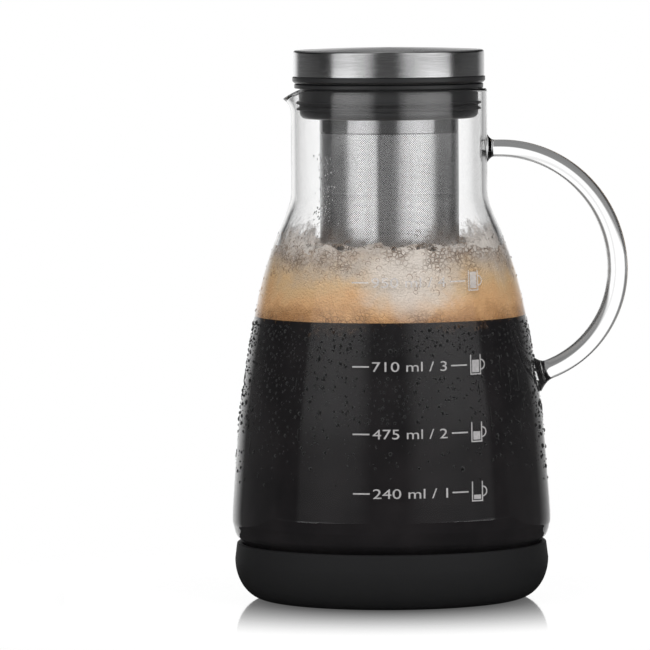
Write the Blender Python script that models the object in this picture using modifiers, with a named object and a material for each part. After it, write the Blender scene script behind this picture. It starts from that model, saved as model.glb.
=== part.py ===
"""A cold brew coffee maker: a glass jug in a soft boot, a lift-out mesh filter and a lift-off lid.

Metres, +Z up. The origin is the centre of the boot's flat bottom, on the axis that everything is turned
about. The handle points along +X and the pouring lip along -X.
"""

import math

import bmesh
import bpy
from mathutils import Vector

MM = 0.001

# Fits between pieces
SEAT_GAP = 0.3 * MM  # between faces that rest on each other
CUT_OVERRUN = 4 * MM  # how far a cutter or a buried end runs past what it cuts
WELD_DISTANCE = 0.005 * MM  # points closer than this are one point

# Silicone boot
BOOT_HEIGHT = 21.9 * MM
BOOT_FLOOR = 2.5 * MM
BOOT_BELLY_WALL = 2.8 * MM
BOOT_BELLY_Z = 15.5 * MM
BOOT_TOP_WALL = 2.0 * MM
BOOT_FLAT_MARGIN = 1.0 * MM  # how much wider the flat under the boot is than the one under the glass
BOOT_EDGE_ROUND = 0.6 * MM

# Glass jug
GLASS_WALL = 2.0 * MM
GLASS_FLOOR = 3.0 * MM
BODY_RADIUS = 61.7 * MM
BODY_WIDEST_Z = 33.0 * MM
FOOT_TUCK = 4.0 * MM  # how far the glass steps in from its widest place to go into the boot
FOOT_ROUND_RUN = 14.7 * MM  # width of the rounded corner under the glass
NECK_RADIUS = 38.0 * MM
NECK_LENGTH = 39.5 * MM
RIM_Z = 197.5 * MM
# The glass swells from the boot's mouth to the body's widest place: height share, radius share
FOOT_SWELL_SHARES = ((0.0, 0.0), (0.1, 0.22), (0.26, 0.62), (0.56, 0.88), (1.0, 1.0))
# The body narrows from its widest place to the neck: height share, radius share
SHOULDER_SHARES = (
    (0.0, 1.0),
    (0.16, 0.94),
    (0.3, 0.88),
    (0.42, 0.79),
    (0.54, 0.688),
    (0.66, 0.565),
    (0.76, 0.43),
    (0.86, 0.245),
    (0.94, 0.07),
    (1.0, 0.0),
    (1.06, 0.0),
)

# Pouring lip
LIP_REACH = 2.7 * MM
LIP_DROP = 3.0 * MM
LIP_DEPTH = 9.0 * MM
LIP_HALF_ANGLE = math.radians(34)

# Glass rod handle, measured along its middle line
HANDLE_REACH = 88.4 * MM
HANDLE_TOP_DROP = 23.4 * MM  # from the rim to the upper foot
HANDLE_UPPER_DROP = 46.9 * MM  # from the upper foot to the widest place
HANDLE_TOP_RUN = 4.7 * MM  # straight run from the neck to the first bend
HANDLE_LOWER_RADIUS = 41.8 * MM
ROD_TOP_DIAMETER = 6.6 * MM
ROD_SIDE_DIAMETER = 8.0 * MM
ROD_LOW_DIAMETER = 7.6 * MM
FOOT_TOP_FLARE = 2.2 * MM
FOOT_LOW_FLARE = 3.4 * MM
FOOT_TOP_LENGTH = 2.6 * MM
FOOT_LOW_LENGTH = 5.0 * MM

# Filter collar
COLLAR_FLANGE_INSET = 1.45 * MM  # from the neck's outside
COLLAR_FLANGE_THICKNESS = 1.6 * MM
COLLAR_PLUG_CLEARANCE = 1.5 * MM  # from the neck's inside
COLLAR_PLUG_DEPTH = 11.7 * MM  # from the flange's underside
COLLAR_PLUG_ROUND = 2.4 * MM
COLLAR_SHELF = 2.2 * MM
COLLAR_WALL = 3.5 * MM
COLLAR_EDGE_ROUND = 0.3 * MM

# Soft lip rings
SEAL_HEIGHT = 3.4 * MM
SEAL_GROOVE_DEPTH = 1.2 * MM
SEAL_LIP_THICKNESS = 0.7 * MM
COLLAR_SEAL_MARGIN = 0.8 * MM  # from the plug's rounded foot to the ring
LID_SEAL_MARGIN = 2.1 * MM

# Filter: sleeve, mesh tube and bottom cup, all of one outer radius
STEEL_WALL = 0.6 * MM
SLEEVE_CLEARANCE = 0.6 * MM  # from the collar's bore to the sleeve's flange
SLEEVE_LEDGE = 3.5 * MM  # how far the sleeve's flange stands out from its band
SLEEVE_LENGTH = 7.8 * MM  # the plain band under the sleeve's flange
TONGUE_LENGTH = 3.0 * MM  # the sleeve and the cup reach this far into the mesh tube
FILTER_BOTTOM_Z = 50.0 * MM
CUP_HEIGHT = 6.0 * MM
CUP_ROUND = 1.6 * MM
SEAM_WIDTH = 3.0 * MM
SEAM_PROUD = 0.25 * MM
SEAM_ANGLE = math.radians(-100)

# Lid
LID_FLANGE_INSET = 0.7 * MM  # from the neck's outside
LID_FLANGE_THICKNESS = 2.5 * MM
LID_FLANGE_CHAMFER = 0.9 * MM
LID_PLUG_CLEARANCE = 1.6 * MM  # from the collar's bore
LID_PLUG_HEADROOM = 1.4 * MM  # from the sleeve's flange
LID_PLUG_WALL = 2.5 * MM
LID_BOSS_HEIGHT = 2.8 * MM
CAP_INSET = 0.3 * MM  # from the edge of the lid's flange
CAP_HEIGHT = 10.8 * MM
CAP_DOME = 0.9 * MM
CAP_ROUND = 1.0 * MM
MOULDED_ROUND = 0.5 * MM

# How finely round shapes are cut
BODY_STEPS = 40
FILTER_STEPS = 30
ARC_POINTS = 4
CORNER_POINTS = 2
CURVE_POINTS = 2
ROD_POINTS = 12
FLARE_SHARES = (0.0, 0.2, 0.45, 0.7, 1.0)  # where the points of a flared foot lie along it
SHARP_ANGLE = math.radians(40)

# Radii that follow from the sizes above
FOOT_RADIUS = BODY_RADIUS - FOOT_TUCK
GLASS_FLAT_RADIUS = FOOT_RADIUS - FOOT_ROUND_RUN
BOOT_BORE_RADIUS = FOOT_RADIUS + SEAT_GAP
BOOT_TOP_RADIUS = BOOT_BORE_RADIUS + BOOT_TOP_WALL
BOOT_BELLY_RADIUS = BOOT_BORE_RADIUS + BOOT_BELLY_WALL
BOOT_FLAT_RADIUS = GLASS_FLAT_RADIUS + BOOT_FLAT_MARGIN
COLLAR_FLANGE_RADIUS = NECK_RADIUS - COLLAR_FLANGE_INSET
COLLAR_PLUG_RADIUS = NECK_RADIUS - GLASS_WALL - COLLAR_PLUG_CLEARANCE
COLLAR_BORE_RADIUS = COLLAR_PLUG_RADIUS - COLLAR_WALL
SLEEVE_FLANGE_RADIUS = COLLAR_BORE_RADIUS - SLEEVE_CLEARANCE
FILTER_RADIUS = SLEEVE_FLANGE_RADIUS - SLEEVE_LEDGE
LID_FLANGE_RADIUS = NECK_RADIUS - LID_FLANGE_INSET
LID_PLUG_RADIUS = COLLAR_BORE_RADIUS - LID_PLUG_CLEARANCE
CAP_RADIUS = LID_FLANGE_RADIUS - CAP_INSET

# Heights that follow from the sizes above
JUG_BOTTOM_Z = BOOT_FLOOR + SEAT_GAP
NECK_FOOT_Z = RIM_Z - NECK_LENGTH
HANDLE_TOP_Z = RIM_Z - HANDLE_TOP_DROP
HANDLE_WIDEST_Z = HANDLE_TOP_Z - HANDLE_UPPER_DROP
COLLAR_FLANGE_Z = RIM_Z + SEAT_GAP
COLLAR_TOP_Z = COLLAR_FLANGE_Z + COLLAR_FLANGE_THICKNESS
COLLAR_BOTTOM_Z = COLLAR_FLANGE_Z - COLLAR_PLUG_DEPTH
COLLAR_SEAL_Z = COLLAR_BOTTOM_Z + COLLAR_PLUG_ROUND + COLLAR_SEAL_MARGIN
SLEEVE_FLANGE_Z = COLLAR_BOTTOM_Z + COLLAR_SHELF + SEAT_GAP
SLEEVE_FOOT_Z = SLEEVE_FLANGE_Z - SLEEVE_LENGTH
CUP_TOP_Z = FILTER_BOTTOM_Z + CUP_HEIGHT
LID_FLANGE_Z = COLLAR_TOP_Z + SEAT_GAP
LID_FLANGE_TOP_Z = LID_FLANGE_Z + LID_FLANGE_THICKNESS
LID_PLUG_BOTTOM_Z = SLEEVE_FLANGE_Z + STEEL_WALL + LID_PLUG_HEADROOM
LID_SEAL_Z = LID_PLUG_BOTTOM_Z + MOULDED_ROUND + LID_SEAL_MARGIN
CAP_FOOT_Z = LID_FLANGE_TOP_Z + SEAT_GAP


def clear_scene():
    for thing in list(bpy.data.objects):
        bpy.data.objects.remove(thing, do_unlink=True)


def new_collection(name):
    collection = bpy.data.collections.new(name)
    bpy.context.scene.collection.children.link(collection)
    return collection


def new_material(name, color, roughness, metallic=0.0, transmission=0.0):
    material = bpy.data.materials.new(name)
    material.use_nodes = True
    shader = material.node_tree.nodes["Principled BSDF"]
    shader.inputs["Base Color"].default_value = (*color, 1.0)
    shader.inputs["Roughness"].default_value = roughness
    shader.inputs["Metallic"].default_value = metallic
    shader.inputs["Transmission Weight"].default_value = transmission
    return material


def ellipse_arc(centre, radii, start, end, count=ARC_POINTS):
    """Points on an ellipse in the (radius, height) plane, both ends included, angles in degrees."""
    angles = [math.radians(start + (end - start) * i / count) for i in range(count + 1)]
    return [
        (centre[0] + radii[0] * math.cos(a), centre[1] + radii[1] * math.sin(a))
        for a in angles
    ]


def rounded(corners):
    """An outline from (radius, height, rounding) corners, each rounding drawn as an arc.

    The first and the last corner stay sharp, so an outline starts and ends in a plain stretch.
    """
    outline = [corners[0][:2]]
    for before, corner, after in zip(corners, corners[1:], corners[2:]):
        if not corner[2]:
            outline.append(corner[:2])
            continue
        here = Vector(corner[:2])
        back = (Vector(before[:2]) - here).normalized()
        ahead = (Vector(after[:2]) - here).normalized()
        half = back.angle(ahead) / 2
        middle = here + (back + ahead).normalized() * corner[2] / math.sin(half)
        start = here + back * corner[2] / math.tan(half) - middle
        sweep = start.angle_signed(here + ahead * corner[2] / math.tan(half) - middle)
        for i in range(CORNER_POINTS + 1):
            turn = sweep * i / CORNER_POINTS
            outline.append(
                (
                    middle.x + start.x * math.cos(turn) + start.y * math.sin(turn),
                    middle.y - start.x * math.sin(turn) + start.y * math.cos(turn),
                )
            )
    outline.append(corners[-1][:2])
    return outline


def smooth_through(points, steps=CURVE_POINTS):
    """A smooth curve through the points, with steps pieces between each two."""
    ends = [points[0], *points, points[-1]]
    curve = [points[0]]
    for p0, p1, p2, p3 in zip(ends, ends[1:], ends[2:], ends[3:]):
        for i in range(1, steps + 1):
            t = i / steps
            curve.append(
                tuple(
                    (
                        2 * b
                        + (c - a) * t
                        + (2 * a - 5 * b + 4 * c - d) * t**2
                        + (3 * b - 3 * c + d - a) * t**3
                    )
                    / 2
                    for a, b, c, d in zip(p0, p1, p2, p3)
                )
            )
    return curve


def offset_outline(outline, distance):
    """The outline moved sideways, towards its right as it is walked."""
    moved = []
    for i, (radius, height) in enumerate(outline):
        before = outline[max(i - 1, 0)]
        after = outline[min(i + 1, len(outline) - 1)]
        along = Vector(after) - Vector(before)
        along.normalize()
        moved.append((radius + along.y * distance, height - along.x * distance))
    return moved


def turned_mesh(name, outline, closed, steps):
    """The solid that an outline makes when it turns about Z; it runs down its outer side."""
    mesh = bpy.data.meshes.new(name)
    edges = [(i, i + 1) for i in range(len(outline) - 1)]
    if closed:
        edges.append((len(outline) - 1, 0))
    mesh.from_pydata([(radius, 0, height) for radius, height in outline], edges, [])
    guide = bpy.data.objects.new(name, mesh)
    bpy.context.scene.collection.objects.link(guide)
    screw = guide.modifiers.new("turn", "SCREW")
    screw.steps = steps
    screw.render_steps = steps
    screw.use_merge_vertices = True
    screw.merge_threshold = WELD_DISTANCE
    return baked_mesh(guide)


def baked_mesh(guide):
    """The guide's finished mesh, with coincident points joined; the guide itself is removed."""
    graph = bpy.context.evaluated_depsgraph_get()
    mesh = bpy.data.meshes.new_from_object(guide.evaluated_get(graph))
    bpy.data.objects.remove(guide)
    joined = bmesh.new()
    joined.from_mesh(mesh)
    bmesh.ops.remove_doubles(joined, verts=joined.verts, dist=WELD_DISTANCE)
    joined.to_mesh(mesh)
    joined.free()
    return mesh


def add_piece(name, mesh, material, collection):
    piece = bpy.data.objects.new(name, mesh)
    mesh.name = name
    mesh.materials.clear()
    mesh.materials.append(material)
    mesh.shade_smooth()
    mesh.set_sharp_from_angle(angle=SHARP_ANGLE)
    collection.objects.link(piece)
    return piece


def add_helper(name, mesh, collection):
    helper = bpy.data.objects.new(name, mesh)
    helper.hide_render = True
    helper.display_type = "WIRE"
    collection.objects.link(helper)
    return helper


def boolean(piece, helper, operation):
    modifier = piece.modifiers.new(f"{operation.lower()} {helper.name}", "BOOLEAN")
    modifier.object = helper
    modifier.operation = operation


def boot_outline():
    belly = (BOOT_BELLY_RADIUS - BOOT_FLAT_RADIUS, BOOT_BELLY_Z)
    well = (BOOT_BORE_RADIUS - GLASS_FLAT_RADIUS, BOOT_BELLY_Z - BOOT_FLOOR)
    rim = rounded(
        [
            (BOOT_BORE_RADIUS, BOOT_BELLY_Z, 0),
            (BOOT_BORE_RADIUS, BOOT_HEIGHT, BOOT_EDGE_ROUND),
            (BOOT_TOP_RADIUS, BOOT_HEIGHT, BOOT_EDGE_ROUND),
            (BOOT_BELLY_RADIUS, BOOT_BELLY_Z, 0),
        ]
    )
    inner = ellipse_arc((GLASS_FLAT_RADIUS, BOOT_BELLY_Z), well, -90, 0)
    outer = ellipse_arc((BOOT_FLAT_RADIUS, BOOT_BELLY_Z), belly, 0, -90)
    return [(0, BOOT_FLOOR), *inner, *rim[1:-1], *outer, (0, 0)]


def jug_outer_outline():
    """The jug's outside, from the rim down to the middle of its bottom."""
    body = [
        (
            NECK_RADIUS + (BODY_RADIUS - NECK_RADIUS) * radius_share,
            BODY_WIDEST_Z + (NECK_FOOT_Z - BODY_WIDEST_Z) * height_share,
        )
        for height_share, radius_share in reversed(SHOULDER_SHARES)
    ]
    swell = [
        (
            FOOT_RADIUS + FOOT_TUCK * radius_share,
            BOOT_HEIGHT + (BODY_WIDEST_Z - BOOT_HEIGHT) * height_share,
        )
        for height_share, radius_share in reversed(FOOT_SWELL_SHARES)
    ]
    corner = (FOOT_ROUND_RUN, BOOT_BELLY_Z - JUG_BOTTOM_Z)
    foot = ellipse_arc((GLASS_FLAT_RADIUS, BOOT_BELLY_Z), corner, 0, -90)
    return [
        (NECK_RADIUS, RIM_Z - GLASS_WALL / 2),
        (NECK_RADIUS, RIM_Z - LIP_DEPTH),
        *smooth_through(body + swell[1:]),
        *foot,
        (0, JUG_BOTTOM_Z),
    ]


def lip_rows():
    """Heights of the rows of points that the pouring lip is drawn from."""
    top = RIM_Z - GLASS_WALL / 2
    return [top - (LIP_DEPTH - GLASS_WALL / 2) * i / ARC_POINTS for i in range(ARC_POINTS + 1)]


def jug_outline():
    """The jug's whole wall: up its inside, over the rim and down its outside."""
    outside = jug_outer_outline()
    walls = offset_outline(outside, GLASS_WALL)
    floor_z = JUG_BOTTOM_Z + GLASS_FLOOR
    inside = [(radius, max(height, floor_z)) for radius, height in walls[2:-1]]
    inner_radius = NECK_RADIUS - GLASS_WALL
    rim = ellipse_arc(
        (NECK_RADIUS - GLASS_WALL / 2, RIM_Z - GLASS_WALL / 2),
        (GLASS_WALL / 2, GLASS_WALL / 2),
        180,
        0,
    )
    rows = lip_rows()
    return [
        (0, floor_z),
        *reversed(inside),
        *((inner_radius, height) for height in reversed(rows[1:])),
        *rim,
        *((NECK_RADIUS, height) for height in rows[1:]),
        *outside[2:],
    ]


def pull_lip(mesh):
    """Draws the rim out and down over the lip's angle, as a glassblower's tool does."""
    for vertex in mesh.vertices:
        x, y, z = vertex.co
        angle = abs(math.atan2(y, -x))
        height_share = (z - RIM_Z + LIP_DEPTH) / LIP_DEPTH
        if angle >= LIP_HALF_ANGLE or height_share <= 0 or math.hypot(x, y) < NECK_RADIUS / 2:
            continue
        pull_share = math.cos(math.pi / 2 * angle / LIP_HALF_ANGLE) ** 2 * height_share**1.6
        vertex.co.x -= LIP_REACH * pull_share
        vertex.co.z -= LIP_DROP * pull_share


def flared(radius, flare, share):
    """A rod's radius near its foot, where the share runs from 0 at the foot to 1 at the plain rod."""
    return radius + flare * (1 - share) ** 2


def handle_path():
    """(x, z, radius) along the rod's middle line, from inside the neck's wall to inside the body's."""
    top, side, low = ROD_TOP_DIAMETER / 2, ROD_SIDE_DIAMETER / 2, ROD_LOW_DIAMETER / 2
    bend_x = NECK_RADIUS + HANDLE_TOP_RUN
    upper = (HANDLE_REACH - bend_x, HANDLE_TOP_Z - HANDLE_WIDEST_Z)
    lower_centre = (HANDLE_REACH - HANDLE_LOWER_RADIUS, HANDLE_WIDEST_Z)
    lower = (HANDLE_LOWER_RADIUS, HANDLE_LOWER_RADIUS)
    foot_x = jug_radius_at(HANDLE_WIDEST_Z - HANDLE_LOWER_RADIUS)
    foot_angle = -math.degrees(math.acos((foot_x - lower_centre[0]) / HANDLE_LOWER_RADIUS))
    flare_angle = foot_angle + math.degrees(FOOT_LOW_LENGTH / HANDLE_LOWER_RADIUS)
    buried_angle = foot_angle - math.degrees(CUT_OVERRUN / HANDLE_LOWER_RADIUS)

    path = [(NECK_RADIUS - CUT_OVERRUN, HANDLE_TOP_Z, flared(top, FOOT_TOP_FLARE, 0))]
    for share in FLARE_SHARES:
        x = NECK_RADIUS + FOOT_TOP_LENGTH * share
        path.append((x, HANDLE_TOP_Z, flared(top, FOOT_TOP_FLARE, share)))
    for i, (x, z) in enumerate(ellipse_arc((bend_x, HANDLE_WIDEST_Z), upper, 90, 0, ROD_POINTS)):
        path.append((x, z, top + (side - top) * i / ROD_POINTS))
    for i, (x, z) in enumerate(ellipse_arc(lower_centre, lower, 0, flare_angle, ROD_POINTS)):
        if i:
            path.append((x, z, side + (low - side) * i / ROD_POINTS))
    for share in reversed(FLARE_SHARES[:-1]):
        angle = foot_angle + (flare_angle - foot_angle) * share
        x, z = ellipse_arc(lower_centre, lower, angle, angle, 1)[0]
        path.append((x, z, flared(low, FOOT_LOW_FLARE, share)))
    x, z = ellipse_arc(lower_centre, lower, buried_angle, buried_angle, 1)[0]
    path.append((x, z, flared(low, FOOT_LOW_FLARE, 0)))
    return path


def jug_radius_at(height):
    outline = jug_outer_outline()
    for (r1, z1), (r2, z2) in zip(outline, outline[1:]):
        if z2 <= height <= z1:
            return r2 + (r1 - r2) * (height - z2) / (z1 - z2)
    return outline[0][0]


def handle_mesh(name):
    curve = bpy.data.curves.new(name, "CURVE")
    curve.dimensions = "3D"
    curve.bevel_depth = 1
    curve.bevel_resolution = 3
    curve.use_fill_caps = True
    spline = curve.splines.new("POLY")
    path = handle_path()
    spline.points.add(len(path) - 1)
    for point, (x, z, radius) in zip(spline.points, path):
        point.co = (x, 0, z, 1)
        point.radius = radius
    guide = bpy.data.objects.new(name, curve)
    bpy.context.scene.collection.objects.link(guide)
    return baked_mesh(guide)


def lip_ring_outline(root_radius, tip_radius, foot_z):
    """A soft ring that sits in a groove and touches the bore with two lips."""
    top_z = foot_z + SEAL_HEIGHT
    waist_radius = (root_radius + tip_radius) / 2
    return [
        (waist_radius, top_z),
        (tip_radius, top_z - SEAL_LIP_THICKNESS / 2),
        (tip_radius, top_z - SEAL_LIP_THICKNESS),
        (waist_radius, top_z - 2 * SEAL_LIP_THICKNESS),
        (waist_radius, foot_z + 2 * SEAL_LIP_THICKNESS),
        (tip_radius, foot_z + SEAL_LIP_THICKNESS),
        (tip_radius, foot_z + SEAL_LIP_THICKNESS / 2),
        (waist_radius, foot_z),
        (root_radius, foot_z),
        (root_radius, top_z),
    ]


def groove(plug_radius, foot_z):
    """Four corners of a lip ring's groove, from the top down, in a plug's side."""
    root = plug_radius - SEAL_GROOVE_DEPTH
    top_z = foot_z + SEAL_HEIGHT + SEAT_GAP
    return [
        (plug_radius, top_z, 0),
        (root, top_z, 0),
        (root, foot_z - SEAT_GAP, 0),
        (plug_radius, foot_z - SEAT_GAP, 0),
    ]


def collar_outline():
    return rounded(
        [
            (COLLAR_BORE_RADIUS + COLLAR_EDGE_ROUND, COLLAR_TOP_Z, 0),
            (COLLAR_FLANGE_RADIUS, COLLAR_TOP_Z, COLLAR_EDGE_ROUND),
            (COLLAR_FLANGE_RADIUS, COLLAR_FLANGE_Z, COLLAR_EDGE_ROUND),
            (COLLAR_PLUG_RADIUS, COLLAR_FLANGE_Z, 0),
            *groove(COLLAR_PLUG_RADIUS, COLLAR_SEAL_Z),
            (COLLAR_PLUG_RADIUS, COLLAR_BOTTOM_Z, COLLAR_PLUG_ROUND),
            (FILTER_RADIUS + SEAT_GAP, COLLAR_BOTTOM_Z, COLLAR_EDGE_ROUND),
            (FILTER_RADIUS + SEAT_GAP, COLLAR_BOTTOM_Z + COLLAR_SHELF, 0),
            (COLLAR_BORE_RADIUS, COLLAR_BOTTOM_Z + COLLAR_SHELF, 0),
            (COLLAR_BORE_RADIUS, COLLAR_TOP_Z - COLLAR_EDGE_ROUND, 0),
        ]
    )


def sleeve_outline():
    inner = FILTER_RADIUS - STEEL_WALL
    tongue = inner - SEAT_GAP
    top_z = SLEEVE_FLANGE_Z + STEEL_WALL
    return [
        (SLEEVE_FLANGE_RADIUS, top_z),
        (SLEEVE_FLANGE_RADIUS, SLEEVE_FLANGE_Z),
        (FILTER_RADIUS, SLEEVE_FLANGE_Z),
        (FILTER_RADIUS, SLEEVE_FOOT_Z),
        (tongue, SLEEVE_FOOT_Z),
        (tongue, SLEEVE_FOOT_Z - TONGUE_LENGTH),
        (tongue - STEEL_WALL, SLEEVE_FOOT_Z - TONGUE_LENGTH),
        (tongue - STEEL_WALL, SLEEVE_FOOT_Z + STEEL_WALL),
        (inner, SLEEVE_FOOT_Z + STEEL_WALL),
        (inner, top_z),
    ]


def cup_outline():
    inner = FILTER_RADIUS - STEEL_WALL
    tongue = inner - SEAT_GAP
    floor_z = FILTER_BOTTOM_Z + STEEL_WALL
    return rounded(
        [
            (0, floor_z, 0),
            (inner, floor_z, CUP_ROUND - STEEL_WALL),
            (inner, CUP_TOP_Z - STEEL_WALL, 0),
            (tongue - STEEL_WALL, CUP_TOP_Z - STEEL_WALL, 0),
            (tongue - STEEL_WALL, CUP_TOP_Z + TONGUE_LENGTH, 0),
            (tongue, CUP_TOP_Z + TONGUE_LENGTH, 0),
            (tongue, CUP_TOP_Z, 0),
            (FILTER_RADIUS, CUP_TOP_Z, 0),
            (FILTER_RADIUS, FILTER_BOTTOM_Z, CUP_ROUND),
            (0, FILTER_BOTTOM_Z, 0),
        ]
    )


def mesh_tube_outline():
    top_z = SLEEVE_FOOT_Z - SEAT_GAP
    foot_z = CUP_TOP_Z + SEAT_GAP
    inner = FILTER_RADIUS - STEEL_WALL
    return [(FILTER_RADIUS, top_z), (FILTER_RADIUS, foot_z), (inner, foot_z), (inner, top_z)]


def seam_strip_mesh(name):
    """The upright strip where the rolled mesh sheet overlaps, standing a little proud of the tube."""
    top_z = SLEEVE_FOOT_Z - SEAT_GAP
    foot_z = CUP_TOP_Z + SEAT_GAP
    outer = FILTER_RADIUS + SEAM_PROUD
    inner = FILTER_RADIUS - STEEL_WALL / 2
    shape = bmesh.new()
    bmesh.ops.create_cube(shape, size=1)
    bmesh.ops.scale(shape, verts=shape.verts, vec=(outer - inner, SEAM_WIDTH, top_z - foot_z))
    bmesh.ops.translate(shape, verts=shape.verts, vec=((outer + inner) / 2, 0, (top_z + foot_z) / 2))
    mesh = bpy.data.meshes.new(name)
    shape.to_mesh(mesh)
    shape.free()
    return mesh


def lid_core_outline():
    boss_radius = CAP_RADIUS - STEEL_WALL - SEAT_GAP
    boss_top_z = LID_FLANGE_TOP_Z + LID_BOSS_HEIGHT
    hollow_radius = LID_PLUG_RADIUS - LID_PLUG_WALL
    return rounded(
        [
            (0, boss_top_z, 0),
            (boss_radius, boss_top_z, MOULDED_ROUND),
            (boss_radius, LID_FLANGE_TOP_Z, 0),
            (LID_FLANGE_RADIUS, LID_FLANGE_TOP_Z, COLLAR_EDGE_ROUND),
            (LID_FLANGE_RADIUS, LID_FLANGE_Z + LID_FLANGE_CHAMFER, 0),
            (LID_FLANGE_RADIUS - LID_FLANGE_CHAMFER, LID_FLANGE_Z, 0),
            (LID_PLUG_RADIUS, LID_FLANGE_Z, 0),
            *groove(LID_PLUG_RADIUS, LID_SEAL_Z),
            (LID_PLUG_RADIUS, LID_PLUG_BOTTOM_Z, MOULDED_ROUND),
            (hollow_radius, LID_PLUG_BOTTOM_Z, MOULDED_ROUND),
            (hollow_radius, LID_FLANGE_TOP_Z, MOULDED_ROUND),
            (0, LID_FLANGE_TOP_Z, 0),
        ]
    )


def cap_side(radius, foot_z, top_z, rounding):
    """The cap's outside or inside, from the middle of its domed top to the foot of its skirt."""
    edge_z = top_z - CAP_DOME
    dome_radius = (radius**2 + CAP_DOME**2) / (2 * CAP_DOME)
    shares = [i / ARC_POINTS for i in range(ARC_POINTS)]
    dome = [
        (
            (radius - rounding) * share,
            top_z - dome_radius + math.sqrt(dome_radius**2 - (radius * share) ** 2),
            0,
        )
        for share in shares
    ]
    return rounded([*dome, (radius, edge_z, rounding), (radius, foot_z, 0)])


def cap_outline():
    top_z = CAP_FOOT_Z + CAP_HEIGHT
    inner = CAP_RADIUS - STEEL_WALL
    outside = cap_side(CAP_RADIUS, CAP_FOOT_Z, top_z, CAP_ROUND)
    inside = cap_side(inner, CAP_FOOT_Z, top_z - STEEL_WALL, CAP_ROUND - STEEL_WALL)
    return [*outside, *reversed(inside)]


def build():
    clear_scene()
    parts = new_collection("cold_brew_coffee_maker")
    helpers = new_collection("helpers")

    silicone = new_material("black silicone", (0.012, 0.012, 0.013), 0.55)
    seal_silicone = new_material("seal silicone", (0.02, 0.02, 0.022), 0.6)
    plastic = new_material("black moulded plastic", (0.016, 0.016, 0.017), 0.35)
    glass = new_material("borosilicate glass", (0.95, 0.97, 0.97), 0.02, transmission=1.0)
    brushed = new_material("brushed steel", (0.6, 0.6, 0.61), 0.3, metallic=1.0)
    pressed = new_material("pressed steel", (0.62, 0.62, 0.63), 0.22, metallic=1.0)
    woven = new_material("steel mesh", (0.5, 0.5, 0.51), 0.45, metallic=1.0)

    def turned_piece(name, outline, material, closed, steps):
        mesh = turned_mesh(name, outline, closed, steps)
        return add_piece(name, mesh, material, parts)

    turned_piece("base_boot", boot_outline(), silicone, False, BODY_STEPS)

    jug = turned_piece("carafe_glass", jug_outline(), glass, False, BODY_STEPS)
    pull_lip(jug.data)

    handle = add_piece("carafe_handle", handle_mesh("carafe_handle"), glass, parts)
    around_jug = [
        (0, RIM_Z + CUT_OVERRUN),
        (NECK_RADIUS + SEAT_GAP, RIM_Z + CUT_OVERRUN),
        *offset_outline(jug_outer_outline()[1:-1], -SEAT_GAP),
        (0, JUG_BOTTOM_Z - SEAT_GAP),
    ]
    jug_space = add_helper(
        "jug_space", turned_mesh("jug_space", around_jug, False, BODY_STEPS), helpers
    )
    boolean(handle, jug_space, "DIFFERENCE")

    turned_piece("filter_collar", collar_outline(), plastic, True, FILTER_STEPS)
    collar_seal = lip_ring_outline(
        COLLAR_PLUG_RADIUS - SEAL_GROOVE_DEPTH + SEAT_GAP,
        NECK_RADIUS - GLASS_WALL - SEAT_GAP,
        COLLAR_SEAL_Z,
    )
    turned_piece("filter_collar_seal", collar_seal, seal_silicone, True, FILTER_STEPS)
    turned_piece("filter_sleeve", sleeve_outline(), pressed, True, FILTER_STEPS)
    tube = turned_piece("filter_mesh", mesh_tube_outline(), woven, True, FILTER_STEPS)
    seam = add_helper("mesh_seam", seam_strip_mesh("mesh_seam"), helpers)
    seam.rotation_euler.z = SEAM_ANGLE
    boolean(tube, seam, "UNION")
    turned_piece("filter_bottom_cup", cup_outline(), pressed, False, FILTER_STEPS)

    turned_piece("lid_cap", cap_outline(), brushed, False, BODY_STEPS)
    turned_piece("lid_core", lid_core_outline(), plastic, False, FILTER_STEPS)
    lid_seal = lip_ring_outline(
        LID_PLUG_RADIUS - SEAL_GROOVE_DEPTH + SEAT_GAP,
        COLLAR_BORE_RADIUS - SEAT_GAP,
        LID_SEAL_Z,
    )
    turned_piece("lid_plug_seal", lid_seal, seal_silicone, True, FILTER_STEPS)


build()
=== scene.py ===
"""The looks of a cold brew coffee maker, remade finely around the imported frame.

Metres, +Z up, the jug's axis on Z, the handle along +X and the pouring lip along -X. The photograph's
camera looks along +Y.
"""

import math
import random

import bpy
from mathutils import Matrix, Vector, noise


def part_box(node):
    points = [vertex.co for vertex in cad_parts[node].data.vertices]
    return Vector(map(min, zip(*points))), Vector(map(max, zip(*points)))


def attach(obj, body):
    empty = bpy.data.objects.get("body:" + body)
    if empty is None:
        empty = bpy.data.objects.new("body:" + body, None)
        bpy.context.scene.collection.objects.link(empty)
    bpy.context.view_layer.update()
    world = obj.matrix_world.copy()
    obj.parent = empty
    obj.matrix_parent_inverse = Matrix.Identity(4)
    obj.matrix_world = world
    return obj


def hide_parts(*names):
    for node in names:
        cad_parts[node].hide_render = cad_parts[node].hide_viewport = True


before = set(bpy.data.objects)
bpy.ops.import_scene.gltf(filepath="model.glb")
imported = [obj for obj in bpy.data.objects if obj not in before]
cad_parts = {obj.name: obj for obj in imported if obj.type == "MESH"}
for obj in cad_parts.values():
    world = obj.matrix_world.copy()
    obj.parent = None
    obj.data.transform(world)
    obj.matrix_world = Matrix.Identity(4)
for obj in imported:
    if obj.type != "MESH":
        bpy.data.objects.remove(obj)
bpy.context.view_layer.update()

MM = 0.001
SEED = 7
TURN_STEPS = 144
WELD_DISTANCE = 0.002 * MM
SMOOTH_ANGLE = math.radians(35)
JUG_SMOOTH_ANGLE = math.radians(50)  # wide enough to soften the handle's fused feet
DROP_SMOOTH_ANGLE = math.radians(60)
JOINT_GAP = 0.3 * MM  # between pieces that touch on the real object, as in the CAD frame

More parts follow.
